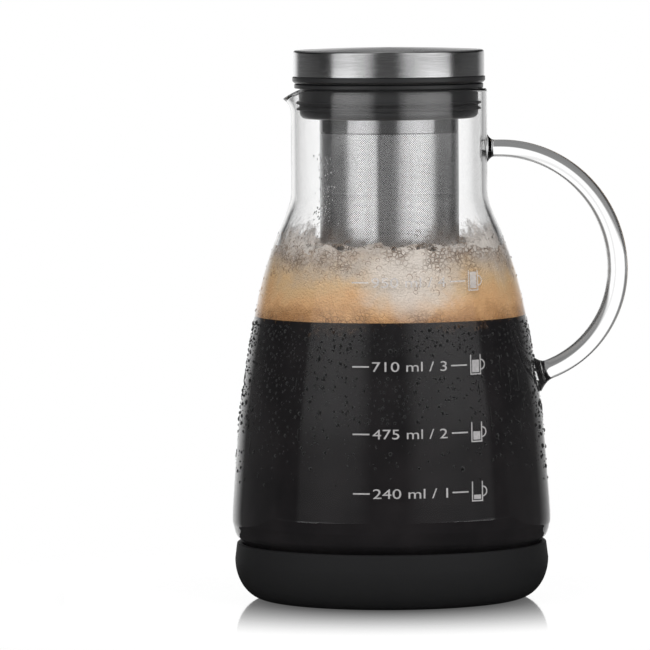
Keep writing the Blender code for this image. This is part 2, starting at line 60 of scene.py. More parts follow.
# Glass jug
JUG_BOTTOM_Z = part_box("carafe_glass")[0].z
RIM_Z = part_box("carafe_glass")[1].z
BODY_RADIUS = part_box("carafe_glass")[1].y
BODY_WIDEST_Z = 33.0 * MM
NECK_RADIUS = 38.0 * MM
NECK_FOOT_Z = RIM_Z - 39.5 * MM
GLASS_WALL = 2.0 * MM
GLASS_FLOOR = 3.0 * MM
FOOT_TUCK = 4.0 * MM
FOOT_ROUND_RUN = 14.7 * MM
FOOT_ROUND_Z = 15.5 * MM
LIP_REACH = 2.7 * MM
LIP_BEAD = 0.7 * MM  # how much thicker the fire has left the lip's edge
LIP_DROP = 3.0 * MM
LIP_DEPTH = 9.0 * MM
LIP_HALF_ANGLE = math.radians(34)
LIP_CURL = 1.6  # how late the drawn rim turns outwards
LIP_ROWS = 14
CURVE_STEPS = 6
FOOT_SWELL_SHARES = ((0.0, 0.0), (0.1, 0.22), (0.26, 0.62), (0.56, 0.88), (1.0, 1.0))
SHOULDER_SHARES = (
    (0.0, 1.0),
    (0.16, 0.94),
    (0.3, 0.88),
    (0.42, 0.79),
    (0.54, 0.688),
    (0.66, 0.565),
    (0.76, 0.43),
    (0.86, 0.245),
    (0.9, 0.155),
    (0.94, 0.07),
    (0.965, 0.0285),
    (0.982, 0.009),
    (0.993, 0.0018),
    (1.0, 0.0002),
    (1.008, 0.0),
)

# Glass rod handle, along its middle line
ROD_TOP_RADIUS = 3.3 * MM
ROD_SIDE_RADIUS = 4.0 * MM
ROD_LOW_RADIUS = 3.8 * MM
HANDLE_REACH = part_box("carafe_handle")[1].x - ROD_SIDE_RADIUS
HANDLE_TOP_Z = RIM_Z - 23.4 * MM
HANDLE_WIDEST_Z = HANDLE_TOP_Z - 46.9 * MM
HANDLE_TOP_RUN = 4.7 * MM
HANDLE_LOWER_RADIUS = 41.8 * MM
FOOT_TOP_FLARE = 2.2 * MM
FOOT_LOW_FLARE = 3.4 * MM
FOOT_TOP_LENGTH = 2.6 * MM
FOOT_LOW_LENGTH = 5.0 * MM
ROD_BURIED = 1.2 * MM  # how far the rod's ends run into the wall
ROD_ROUNDNESS = 10  # bevel resolution of the rod's curve
FLARE_STEPS = 8
BEND_STEPS = 40

# Silicone boot
BOOT_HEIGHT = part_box("base_boot")[1].z
BOOT_FLOOR = 2.5 * MM
BOOT_WALL = 2.0 * MM
BOOT_BORE_RADIUS = BODY_RADIUS - FOOT_TUCK + JOINT_GAP
BOOT_TOP_RADIUS = BOOT_BORE_RADIUS + BOOT_WALL
BOOT_BELLY_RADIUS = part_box("base_boot")[1].y - 0.01 * MM  # a hair inside the CAD's
BOOT_FLAT_RADIUS = 49.0 * MM  # wider than in the CAD, for a tighter lower corner
BOOT_EDGE_ROUND = 0.6 * MM
BELLY_STEPS = 24

# Filter
COLLAR_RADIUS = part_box("filter_collar")[1].x
COLLAR_TOP_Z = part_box("filter_collar")[1].z
COLLAR_BOTTOM_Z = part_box("filter_collar")[0].z
COLLAR_FLANGE_Z = RIM_Z + JOINT_GAP
COLLAR_PLUG_RADIUS = 34.5 * MM
COLLAR_PLUG_ROUND = 2.4 * MM
COLLAR_BORE_RADIUS = 31.0 * MM
COLLAR_SHELF = 2.2 * MM
SEAL_GROOVE_DEPTH = 1.2 * MM
SEAL_LIP_THICKNESS = 0.7 * MM
SLEEVE_FLANGE_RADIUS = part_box("filter_sleeve")[1].x
SLEEVE_TOP_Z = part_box("filter_sleeve")[1].z
SLEEVE_FOOT_Z = SLEEVE_TOP_Z - 8.4 * MM
FILTER_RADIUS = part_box("filter_bottom_cup")[1].x
FILTER_BOTTOM_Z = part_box("filter_bottom_cup")[0].z
MESH_TOP_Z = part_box("filter_mesh")[1].z
MESH_FOOT_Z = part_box("filter_mesh")[0].z
TONGUE_LENGTH = 3.0 * MM
STEEL_WALL = 0.6 * MM
CUP_ROUND = 1.6 * MM
SEAM_WIDTH = 3.0 * MM
SEAM_RISE = 0.25 * MM
SEAM_CATCH = 1.05  # the seam takes in points a little past its edges
SEAM_ANGLE = math.radians(-100)
MESH_ROWS = 40

# Lid
LID_FLANGE_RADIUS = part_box("lid_core")[1].x
LID_PLUG_BOTTOM_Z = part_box("lid_core")[0].z
LID_BOSS_TOP_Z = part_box("lid_core")[1].z
LID_FLANGE_Z = COLLAR_TOP_Z + JOINT_GAP
LID_FLANGE_TOP_Z = LID_FLANGE_Z + 2.5 * MM
LID_FLANGE_CHAMFER = 0.9 * MM
LID_PLUG_RADIUS = 29.4 * MM
LID_PLUG_WALL = 2.5 * MM
CAP_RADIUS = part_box("lid_cap")[1].x
CAP_FOOT_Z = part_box("lid_cap")[0].z
CAP_TOP_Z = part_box("lid_cap")[1].z
CAP_DOME = 0.9 * MM
CAP_ROUND = 1.0 * MM
CAP_RINGS = 16
MOULDED_ROUND = 0.5 * MM
EDGE_ROUND = 0.3 * MM

# Contents
WETTING = 0.3 * MM  # the liquid's skin lies this deep in the glass, so no air shows between them
COFFEE_TOP_Z = 109.6 * MM
FOAM_TOP_Z = 137.0 * MM
FOAM_SIDE_ROWS = 24
FOAM_TOP_RINGS = 30
FOAM_LUMP_SIZE = 9 * MM
FOAM_LUMP_HEIGHT = 2.2 * MM
FOAM_LUMP_NOISE = (0.6, 2.0, 5)  # how fast finer layers weaken, how much finer each is, and their count
FOAM_SWIRL = (5 * MM, -45 * MM, 127 * MM)  # middle of the pale swirl in front
FILM_HEIGHT = 15.0 * MM  # how far a dried film of foam climbs the wall
FILM_OVERLAP = 4 * MM  # how far it runs down behind the foam's edge
FILM_ROWS = 12
FILM_OUTER_GAP = 0.05 * MM  # the film's two faces stand this far off the wall
FILM_INNER_GAP = 0.15 * MM

# Froth on the foam's top: middle and spread of the clusters' angles from the front, and sizes in mm
FROTH_COUNT = 260
FROTH_CLUSTERS = ((-48, 22), (24, 9), (130, 40), (-140, 30))
FROTH_RADIUS_MM = 0.75
FROTH_VARIETY = 0.4
FROTH_LARGEST_MM = 1.5
FROTH_RISE_MM = (-2.2, 1.2)  # their heights, from the foam's top
FROTH_INWARD_MM = 3.0  # spread of their distances from the glass
FROTH_WALL_GAP = 0.2 * MM
FROTH_FILTER_GAP = 0.5 * MM

# Bubbles against the glass: middle and spread of their angles from the front, middle and spread of their
# heights, how many there are, and their usual radius
BUBBLE_CLUSTERS = (
    (0, 50, 109.7 * MM, 0.6 * MM, 260, 0.4 * MM),
    (180, 50, 109.7 * MM, 0.6 * MM, 160, 0.4 * MM),
    (-25, 7, 107.6 * MM, 1.4 * MM, 130, 0.5 * MM),
    (30, 7, 108.0 * MM, 1.1 * MM, 100, 0.5 * MM),
    (-28, 12, 133.0 * MM, 4.0 * MM, 260, 0.6 * MM),
    (-62, 12, 135.0 * MM, 3.5 * MM, 150, 0.55 * MM),
    (24, 8, 138.0 * MM, 2.5 * MM, 110, 0.65 * MM),
    (19, 7, 126.0 * MM, 3.0 * MM, 26, 1.1 * MM),
    (180, 60, 133.0 * MM, 4.0 * MM, 160, 0.8 * MM),
)
BUBBLE_VARIETY = 0.35
BUBBLE_LARGEST = 1.7 * MM
BUBBLE_SPACING = 0.85  # under 1, so that neighbours press into one another
BUBBLE_CELL = 3 * MM
BUBBLE_FLATNESS = 0.6
BUBBLE_RISE = 0.6 * MM

# Condensation: how many there are of each kind, and their angles in degrees and sizes in mm. Drops and mist
# lie before the coffee, the more the higher, and trickles run at the jug's sides
DROP_COUNT = 2600
DROP_FOOT_MM = 44
DROP_SPAN_MM = 64
DROP_RADIUS_MM = 0.45
DROP_VARIETY = 0.35
DROP_LARGEST_MM = 1.0
DROP_STRETCH = (1.0, 1.2)
MIST_COUNT = 2200
MIST_RADII_MM = (0.2, 0.32)
TRICKLE_COUNT = 14
TRICKLE_ANGLES = (35, 80)
TRICKLE_SIDES = (1, 1, -1)  # twice as many on the handle's side
TRICKLE_HEIGHTS_MM = (60, 100)
TRICKLE_RADII_MM = (0.2, 0.35)
TRICKLE_STRETCH = (9, 20)
SIDE_BEAD_COUNT = 480
SIDE_BEAD_RADII_MM = (0.15, 0.4)
SIDE_BEAD_STRETCH = 1.2
# Beads above the coffee: middle and spread of their angles from the front, and the heights they lie between
SIDE_BEADS = (
    (-64, 14, 110 * MM, 142 * MM),
    (60, 14, 110 * MM, 142 * MM),
    (-41, 4, 146 * MM, 173 * MM),
)
# Patterns of drops and bubbles: segments, rings, and the height at which the unit ball is cut flat
DROP_PATTERN = (10, 6, 0.0)
MIST_PATTERN = (8, 4, 0.0)
FROTH_PATTERN = (12, 8, -0.9)
BUBBLE_PATTERN = (14, 6, 0.0)
DROP_CELL = 1.2 * MM  # drops are searched for their neighbours in cubes of this size
DROP_SPACING = 1.08  # room between two drops, as a share of their radii
DROP_SINK = 0.04 * MM  # a drop's flat side lies this deep in the glass
DROP_RISE = 0.5 * MM  # the most that a drop stands proud
DROP_RISE_SHARES = (0.5, 0.7)  # a drop's height, as a share of its radius
WET_CONTACT = 0.9 * MM  # a bent ray shorter than this has only crossed a drop that lies on the glass

# Volume marks: height of each and its words, laid along the glass from the front middle line
MARKS = (
    (45.5 * MM, "240 ml / 1"),
    (68.0 * MM, "475 ml / 2"),
    (93.4 * MM, "710 ml / 3"),
    (125.0 * MM, "950 ml / 4"),
)
INK_THICKNESS = 0.03 * MM
DIGIT_HEIGHT = 3.7 * MM
DIGIT_SHARE = 0.7  # a digit's height, as a share of the text's size
LETTERS_START = -7.6 * MM
LETTERS_WIDTH = 29.0 * MM
TICK_HEIGHT = 0.55 * MM
TICK_ENDS = ((-15.3 * MM, -8.8 * MM), (23.2 * MM, 30.0 * MM))
CUP_MIDDLE = 34.0 * MM
CUP_WIDTH = 5.0 * MM
CUP_HEIGHT = 7.6 * MM
CUP_LINE = 0.5 * MM
CUP_FILL_INSET = 1.8 * CUP_LINE
CUP_EAR_RADIUS = CUP_HEIGHT * 0.27
CUP_EAR_HOLE = 0.76  # the ear's hole, as a share of its radius
CUP_EAR_SIDES = 28
PATCH_CUTS = 5

# Floor, and the distances from the jug's axis over which its polish and then the floor itself fade out
FLOOR_RADIUS = 240 * MM
FLOOR_SIDES = 96
FLOOR_DROP = 0.2 * MM
FLOOR_POLISH = (35 * MM, 152 * MM)
FLOOR_FADE = (110 * MM, 230 * MM)
FLOOR_GLOW = 0.8  # how much of its own white the camera sees; the rest takes light and shade

# Soft boxes: name, place, width and watts
LAMPS_AIM = (0, 0, 0.1)
SOFT_BOXES = (
    ("soft_box_left", (-0.7, -1.0, 1.15), 0.8, 9),
    ("soft_box_right", (0.8, -0.95, 1.15), 0.8, 10),
    ("soft_box_top", (0, 0.1, 1.4), 0.9, 8),
)
# Cards that only reflections see: name, sides, place, tilt in degrees and level of light. The table mirrors
# white paper behind the object, and the jug's foot mirrors a dark cloth in front of it
CARDS = (
    ("white_paper", (0.28, 0.19), (0, 0.32, 0.095), 90, 1.0),
    ("dark_cloth", (2.4, 2.6), (0, -1.2, -0.001), 0, 0.03),
)

# Camera, as found from the photograph
PHOTO_PIXELS = 650
FOCAL_PIXELS = 6566
CAMERA_DISTANCE = 2.54
CAMERA_HEIGHT = 0.268
CAMERA_X = -25.3 * MM
CAMERA_PITCH = math.radians(-3.65)
CAMERA_ROLL = math.radians(0.4)
CAMERA_SIGHT = 20  # it sees this far
SENSOR_WIDTH = 36


def linear(hex_colour):
    """A colour written as sRGB hex, as the linear colour that a socket takes."""
    channels = [int(hex_colour[i : i + 2], 16) / 255 for i in (1, 3, 5)]
    return (*(c / 12.92 if c <= 0.04045 else ((c + 0.055) / 1.055) ** 2.4 for c in channels), 1.0)


def connect(tree, node, links):
    """Links outputs to a node's sockets, each given by its name or number."""
    for name, output in links.items():
        tree.links.new(output, node.inputs[name])


def add_node(tree, kind, settings=None, links=None):
    """Adds a shader node, sets its properties and sockets by name, and links outputs to its sockets."""
    node = tree.nodes.new(kind)
    for name, value in (settings or {}).items():
        if isinstance(name, str) and hasattr(node, name):
            setattr(node, name, value)
        else:
            node.inputs[name].default_value = value
    connect(tree, node, links or {})
    return node


def set_ramp(node, stops):
    """Gives a colour ramp its stops, each a position and a linear colour."""
    elements = node.color_ramp.elements
    while len(elements) < len(stops):
        elements.new(1.0)
    for element, (position, colour) in zip(elements, stops):
        element.position = position
        element.color = colour


def new_material(name, **values):
    """A material with its Principled shader's sockets set; underscores in the names stand for spaces."""
    material = bpy.data.materials.new(name)
    material.use_nodes = True
    tree = material.node_tree
    shader = tree.nodes["Principled BSDF"]
    for key, value in values.items():
        shader.inputs[key.replace("_", " ")].default_value = value
    return material, tree, shader


# Sockets of clear still water
STILL_WATER = {
    "Base_Color": linear("#FFFFFF"),
    "Roughness": 0.0,
    "IOR": 1.333,
    "Transmission_Weight": 1.0,
}
# Settings of a tangent that runs round the object's axis, along the brushing or rolling
ROUND_THE_AXIS = {"direction_type": "RADIAL", "axis": "Z"}


def let_lamps_through(tree, shader):
    """Light from lamps and the room passes a clear piece straight, so what is inside it is lit.

    A bent ray that has gone less than WET_CONTACT is in a drop that wets this surface, and crosses it too.
    """
    path = add_node(tree, "ShaderNodeLightPath")
    short = add_node(
        tree,
        "ShaderNodeMath",
        {"operation": "LESS_THAN", 1: WET_CONTACT},
        {0: path.outputs["Ray Length"]},
    ).outputs[0]
    wet = add_node(
        tree,
        "ShaderNodeMath",
        {"operation": "MULTIPLY"},
        {0: short, 1: path.outputs["Is Transmission Ray"]},
    ).outputs[0]
    lit = add_node(
        tree,
        "ShaderNodeMath",
        {"operation": "MAXIMUM"},
        {0: path.outputs["Is Shadow Ray"], 1: path.outputs["Is Diffuse Ray"]},
    ).outputs[0]
    either = add_node(tree, "ShaderNodeMath", {"operation": "MAXIMUM"}, {0: lit, 1: wet}).outputs[0]
    clear = add_node(tree, "ShaderNodeBsdfTransparent").outputs[0]
    mix = add_node(
        tree, "ShaderNodeMixShader", {}, {0: either, 1: shader.outputs[0], 2: clear}
    ).outputs[0]
    connect(tree, tree.nodes["Material Output"], {"Surface": mix})


def borosilicate_blown():
    """Clear blown glass: faint waves from blowing make its reflections swim a little."""
    material, tree, shader = new_material(
        "borosilicate_blown",
        Base_Color=linear("#FFFFFF"),
        Roughness=0.0,
        IOR=1.473,
        Transmission_Weight=1.0,
    )
    place = add_node(tree, "ShaderNodeTexCoord").outputs["Object"]
    waves = add_node(
        tree, "ShaderNodeTexNoise", {"Scale": 1 / (22 * MM), "Detail": 1.0}, {"Vector": place}
    ).outputs["Fac"]
    bump = add_node(
        tree, "ShaderNodeBump", {"Strength": 0.25, "Distance": 0.25 * MM}, {"Height": waves}
    ).outputs[0]
    connect(tree, shader, {"Normal": bump})
    let_lamps_through(tree, shader)
    return material


def water_condensed():
    """Still water in beads: clear, with a lower gloss than the glass under it."""
    material, tree, shader = new_material("water_condensed", **STILL_WATER)
    let_lamps_through(tree, shader)
    return material


def water_over_coffee():
    """Beads on the cold glass before the coffee: a diffuse colour paints the coffee's dark seen through
    each as painted shade, within a fine pale rim that is a painted reflection.
    """
    material, tree, shader = new_material("water_painted_shade_and_rim", **STILL_WATER)
    edge_on = add_node(tree, "ShaderNodeLayerWeight", {"Blend": 0.5}).outputs["Facing"]
    # Painted shade and painted reflection: a dark middle for the coffee seen through the bead, and a pale
    # ring where it is seen edge on, for the glints that its curve catches
    ramp = add_node(tree, "ShaderNodeValToRGB", {}, {"Fac": edge_on})
    set_ramp(
        ramp,
        [
            (0.03, linear("#0E0E0E")),
            (0.1, linear("#1A1A1A")),
            (0.22, linear("#464646")),
            (0.5, linear("#262626")),
        ],
    )
    painted_dark_and_rim = add_node(tree, "ShaderNodeBsdfDiffuse", {}, {"Color": ramp.outputs["Color"]}).outputs[0]
    mix = add_node(tree, "ShaderNodeMixShader", {0: 0.8}, {1: shader.outputs[0], 2: painted_dark_and_rim})
    let_lamps_through(tree, mix)
    return material


def coffee_cold_brewed():
    """Strong coffee: nearly black, with a breath of brown where fine sediment hangs."""
    material, tree, shader = new_material("coffee_cold_brewed", Roughness=0.3, Specular_IOR_Level=0.0)
    place = add_node(tree, "ShaderNodeTexCoord").outputs["Object"]
    clouds = add_node(
        tree, "ShaderNodeTexNoise", {"Scale": 1 / (18 * MM), "Detail": 4.0}, {"Vector": place}
    ).outputs["Fac"]
    ramp = add_node(tree, "ShaderNodeValToRGB", {}, {"Fac": clouds})
    set_ramp(ramp, [(0.35, linear("#1A191A")), (0.7, linear("#222021"))])
    connect(tree, shader, {"Base Color": ramp.outputs["Color"]})
    return material


def foam_whipped():
    """Coffee foam: tan where it is dense, greyer where it drains, with pale swirls and bubble walls."""
    material, tree, shader = new_material("foam_whipped", Roughness=0.4, Specular_IOR_Level=0.3)
    place = add_node(tree, "ShaderNodeTexCoord").outputs["Object"]
    split = add_node(tree, "ShaderNodeSeparateXYZ", {}, {"Vector": place})
    drift = add_node(
        tree,
        "ShaderNodeTexNoise",
        {"Scale": 1 / (13 * MM), "Detail": 6.0, "Roughness": 0.62},
        {"Vector": place},
    ).outputs["Fac"]
    height = add_node(
        tree,
        "ShaderNodeMapRange",
        {"From Min": COFFEE_TOP_Z, "From Max": FOAM_TOP_Z, "clamp": False},
        {"Value": split.outputs["Z"]},
    ).outputs[0]
    uneven = add_node(
        tree, "ShaderNodeMath", {"operation": "MULTIPLY_ADD", 1: 0.9, 2: -0.45}, {0: drift}
    ).outputs[0]
    level = add_node(tree, "ShaderNodeMath", {"operation": "ADD"}, {0: height, 1: uneven}).outputs[0]
    ramp = add_node(tree, "ShaderNodeValToRGB", {}, {"Fac": level})
    set_ramp(
        ramp,
        [
            (0.0, linear("#9E744C")),
            (0.25, linear("#C89D70")),
            (0.5, linear("#C4A47C")),
            (0.72, linear("#B5A28C")),
            (0.86, linear("#A79A8D")),
            (1.0, linear("#B6AEA7")),
        ],
    )
    # Pale swirls: one in front, behind the highest mark, and others by chance all round
    aside = add_node(
        tree, "ShaderNodeVectorMath", {"operation": "SUBTRACT", 1: FOAM_SWIRL}, {0: place}
    ).outputs[0]
    widened = add_node(
        tree, "ShaderNodeVectorMath", {"operation": "MULTIPLY", 1: (0.72, 1, 1)}, {0: aside}
    ).outputs[0]
    from_swirl = add_node(
        tree, "ShaderNodeVectorMath", {"operation": "LENGTH"}, {0: widened}
    ).outputs["Value"]
    swirl = add_node(
        tree,
        "ShaderNodeMapRange",
        {"From Min": 2 * MM, "From Max": 22 * MM, "To Min": 0.75, "To Max": 0.0},
        {"Value": from_swirl},
    ).outputs[0]
    cloud = add_node(
        tree,
        "ShaderNodeTexNoise",
        {"Scale": 1 / (19 * MM), "Detail": 7.0, "Roughness": 0.6, "Distortion": 0.6},
        {"Vector": place},
    ).outputs["Fac"]
    cloudy = add_node(tree, "ShaderNodeMath", {"operation": "ADD"}, {0: swirl, 1: cloud}).outputs[0]
    pale = add_node(
        tree,
        "ShaderNodeMapRange",
        {"interpolation_type": "SMOOTHSTEP", "From Min": 0.55, "From Max": 1.15, "To Max": 0.9},
        {"Value": cloudy},
    ).outputs[0]
    swirled = add_node(
        tree,
        "ShaderNodeMix",
        {"data_type": "RGBA", 7: linear("#CDC4BB")},
        {0: pale, 6: ramp.outputs["Color"]},
    ).outputs[2]
    # Bubbles against the glass: 1.7 mm cells, which show at the coffee and the more near the top
    cells = add_node(
        tree,
        "ShaderNodeTexVoronoi",
        {"Scale": 1 / (1.7 * MM), "feature": "DISTANCE_TO_EDGE"},
        {"Vector": place},
    ).outputs["Distance"]
    wall = add_node(
        tree,
        "ShaderNodeMapRange",
        {"From Min": 0.02, "From Max": 0.16, "To Min": 1.0, "To Max": 0.0},
        {"Value": cells},
    ).outputs[0]
    patches = add_node(
        tree, "ShaderNodeTexNoise", {"Scale": 1 / (9 * MM), "Detail": 2.0}, {"Vector": place}
    ).outputs["Fac"]
    ends = add_node(tree, "ShaderNodeValToRGB", {}, {"Fac": height})
    set_ramp(
        ends,
        [
            (0.0, (0.55, 0.55, 0.55, 1)),
            (0.22, (0.1, 0.1, 0.1, 1)),
            (0.6, (0.1, 0.1, 0.1, 1)),
            (0.85, (0.75, 0.75, 0.75, 1)),
        ],
    )
    bubbly = add_node(
        tree, "ShaderNodeMapRange", {"From Min": 0.4, "From Max": 0.62}, {"Value": patches}
    ).outputs[0]
    showing = add_node(
        tree, "ShaderNodeMath", {"operation": "MULTIPLY"}, {0: ends.outputs["Color"], 1: bubbly}
    ).outputs[0]
    dark_wall = add_node(
        tree, "ShaderNodeMath", {"operation": "MULTIPLY"}, {0: showing, 1: wall}
    ).outputs[0]
    walled = add_node(
        tree, "ShaderNodeMix", {"data_type": "RGBA", 7: linear("#6B5542")}, {0: dark_wall, 6: swirled}
    ).outputs[2]
    grain = add_node(
        tree, "ShaderNodeTexVoronoi", {"Scale": 1 / (0.8 * MM)}, {"Vector": place}
    ).outputs["Distance"]
    lumps = add_node(
        tree, "ShaderNodeMath", {"operation": "MULTIPLY_ADD", 1: -2.0}, {0: dark_wall, 2: grain}
    ).outputs[0]
    bump = add_node(
        tree, "ShaderNodeBump", {"Strength": 0.8, "Distance": 0.4 * MM}, {"Height": lumps}
    ).outputs[0]
    connect(tree, shader, {"Base Color": walled, "Normal": bump})
    return material


def bubble_film(name, rim_colour):
    """A bubble's film: clear face on, and drawn as a fine ring where it is seen edge on."""
    material, tree, shader = new_material(name, Base_Color=linear(rim_colour), Roughness=0.12)
    edge_on = add_node(tree, "ShaderNodeLayerWeight", {"Blend": 0.5}).outputs["Facing"]
    thickness = add_node(
        tree,
        "ShaderNodeMapRange",
        {"interpolation_type": "SMOOTHSTEP", "From Min": 0.16, "From Max": 0.5, "To Max": 0.8},
        {"Value": edge_on},
    ).outputs[0]
    clear = add_node(tree, "ShaderNodeBsdfTransparent").outputs[0]
    mix = add_node(tree, "ShaderNodeMixShader", {}, {0: thickness, 1: clear, 2: shader.outputs[0]})
    let_lamps_through(tree, mix)
    return material


def foam_dried():
    """Foam dried onto the wall: a patchy frost, dense near the foam and gone a little above it."""
    material, tree, shader = new_material("foam_dried", Base_Color=linear("#D9D2CB"), Roughness=0.8)
    place = add_node(tree, "ShaderNodeTexCoord").outputs["Object"]
    split = add_node(tree, "ShaderNodeSeparateXYZ", {}, {"Vector": place})
    patches = add_node(
        tree,
        "ShaderNodeTexNoise",
        {"Scale": 1 / (5 * MM), "Detail": 8.0, "Roughness": 0.75},
        {"Vector": place},
    ).outputs["Fac"]
    height = add_node(
        tree,
        "ShaderNodeMapRange",
        {
            "From Min": FOAM_TOP_Z - 2 * MM,
            "From Max": FOAM_TOP_Z + FILM_HEIGHT,
            "To Min": 0.3,
            "To Max": -0.35,
        },
        {"Value": split.outputs["Z"]},
    ).outputs[0]
    aside = add_node(
        tree, "ShaderNodeMath", {"operation": "ABSOLUTE"}, {0: split.outputs["X"]}
    ).outputs[0]
    to_side = add_node(
        tree,
        "ShaderNodeMapRange",
        {"From Min": 20 * MM, "From Max": 32 * MM, "To Min": -0.3, "To Max": 0.05},
        {"Value": aside},
    ).outputs[0]
    both = add_node(tree, "ShaderNodeMath", {"operation": "ADD"}, {0: height, 1: to_side}).outputs[0]
    frost = add_node(tree, "ShaderNodeMath", {"operation": "ADD"}, {0: patches, 1: both}).outputs[0]
    cover = add_node(
        tree,
        "ShaderNodeMapRange",
        {"interpolation_type": "SMOOTHSTEP", "From Min": 0.4, "From Max": 0.8, "To Max": 0.7},
        {"Value": frost},
    ).outputs[0]
    clear = add_node(tree, "ShaderNodeBsdfTransparent").outputs[0]
    mix = add_node(tree, "ShaderNodeMixShader", {}, {0: cover, 1: clear, 2: shader.outputs[0]}).outputs[0]
    connect(tree, tree.nodes["Material Output"], {"Surface": mix})
    return material


def ink_fired():
    """White enamel ink fired onto the glass: satin, thin enough to let what lies behind it glow through."""
    material, tree, shader = new_material("ink_fired_white", Roughness=0.45, Alpha=0.5)
    place = add_node(tree, "ShaderNodeTexCoord").outputs["Object"]
    thin = add_node(
        tree, "ShaderNodeTexNoise", {"Scale": 1 / (1.2 * MM), "Detail": 3.0}, {"Vector": place}
    ).outputs["Fac"]
    ramp = add_node(tree, "ShaderNodeValToRGB", {}, {"Fac": thin})
    set_ramp(ramp, [(0.3, linear("#BFBDBD")), (0.65, linear("#D6D4D4"))])
    connect(tree, shader, {"Base Color": ramp.outputs["Color"]})
    return material


def silicone_moulded(name, colour, roughness):
    """Moulded silicone: matte, with the fine even grain of a blasted mould."""
    material, tree, shader = new_material(
        name, Base_Color=linear(colour), Roughness=roughness, Specular_IOR_Level=0.25
    )
    place = add_node(tree, "ShaderNodeTexCoord").outputs["Object"]
    grain = add_node(
        tree,
        "ShaderNodeTexNoise",
        {"Scale": 1 / (0.5 * MM), "Detail": 2.0},  # real grain is near 0.1 mm, too fine to show
        {"Vector": place},
    ).outputs["Fac"]
    bump = add_node(
        tree, "ShaderNodeBump", {"Strength": 0.35, "Distance": 0.06 * MM}, {"Height": grain}
    ).outputs[0]
    rough = add_node(
        tree,
        "ShaderNodeMapRange",
        {"To Min": roughness - 0.07, "To Max": roughness + 0.07},
        {"Value": grain},
    ).outputs[0]
    connect(tree, shader, {"Normal": bump, "Roughness": rough})
    return material


def steel_brushed():
    """Brushed stainless steel: fine lines round the cap smear reflections up and down, not sideways."""
    material, tree, shader = new_material(
        "steel_brushed",
        Base_Color=linear("#D2D2D3"),
        Metallic=1.0,
        Roughness=0.2,
        Anisotropic=0.6,
        Anisotropic_Rotation=0.25,
    )
    place = add_node(tree, "ShaderNodeTexCoord").outputs["Object"]
    split = add_node(tree, "ShaderNodeSeparateXYZ", {}, {"Vector": place})
    flat = add_node(
        tree, "ShaderNodeCombineXYZ", {}, {"X": split.outputs["X"], "Y": split.outputs["Y"]}
    ).outputs[0]
    radius = add_node(tree, "ShaderNodeVectorMath", {"operation": "LENGTH"}, {0: flat}).outputs["Value"]
    across = add_node(
        tree, "ShaderNodeMath", {"operation": "ADD"}, {0: radius, 1: split.outputs["Z"]}
    ).outputs[0]
    # The lines lie 0.35 mm apart, as wide as they must be to show; real ones are near 0.08 mm
    fine = add_node(
        tree, "ShaderNodeMath", {"operation": "MULTIPLY", 1: 1 / (0.35 * MM)}, {0: across}
    ).outputs[0]
    long_x = add_node(
        tree, "ShaderNodeMath", {"operation": "MULTIPLY", 1: 1 / (9 * MM)}, {0: split.outputs["X"]}
    ).outputs[0]
    long_y = add_node(
        tree, "ShaderNodeMath", {"operation": "MULTIPLY", 1: 1 / (9 * MM)}, {0: split.outputs["Y"]}
    ).outputs[0]
    streak_place = add_node(
        tree, "ShaderNodeCombineXYZ", {}, {"X": long_x, "Y": long_y, "Z": fine}
    ).outputs[0]
    streaks = add_node(
        tree,
        "ShaderNodeTexNoise",
        {"Scale": 1.0, "Detail": 3.0, "Roughness": 0.7},
        {"Vector": streak_place},
    ).outputs["Fac"]
    rough = add_node(
        tree, "ShaderNodeMapRange", {"To Min": 0.14, "To Max": 0.28}, {"Value": streaks}
    ).outputs[0]
    shade = add_node(tree, "ShaderNodeValToRGB", {}, {"Fac": streaks})
    set_ramp(shade, [(0.3, linear("#E2E2E3")), (0.7, linear("#FBFBFC"))])
    bump = add_node(
        tree, "ShaderNodeBump", {"Strength": 0.12, "Distance": 0.05 * MM}, {"Height": streaks}
    ).outputs[0]
    around = add_node(tree, "ShaderNodeTangent", ROUND_THE_AXIS).outputs[0]
    connect(
        tree,
        shader,
        {"Roughness": rough, "Base Color": shade.outputs["Color"], "Normal": bump, "Tangent": around},
    )
    return material


def steel_pressed():
    """Pressed stainless sheet with a satin face: faint rolling lines run round it."""
    material, tree, shader = new_material(
        "steel_pressed",
        Base_Color=linear("#969697"),
        Metallic=1.0,
        Roughness=0.15,
        Anisotropic=0.5,
        Anisotropic_Rotation=0.25,
    )
    place = add_node(tree, "ShaderNodeTexCoord").outputs["Object"]
    stretch = add_node(
        tree,
        "ShaderNodeMapping",
        {"Scale": (1 / (8 * MM), 1 / (8 * MM), 1 / (0.5 * MM))},
        {"Vector": place},
    ).outputs[0]
    lines = add_node(
        tree, "ShaderNodeTexNoise", {"Scale": 1.0, "Detail": 2.0}, {"Vector": stretch}
    ).outputs["Fac"]
    rough = add_node(
        tree, "ShaderNodeMapRange", {"To Min": 0.1, "To Max": 0.2}, {"Value": lines}
    ).outputs[0]
    around = add_node(tree, "ShaderNodeTangent", ROUND_THE_AXIS).outputs[0]
    connect(tree, shader, {"Roughness": rough, "Tangent": around})
    return material


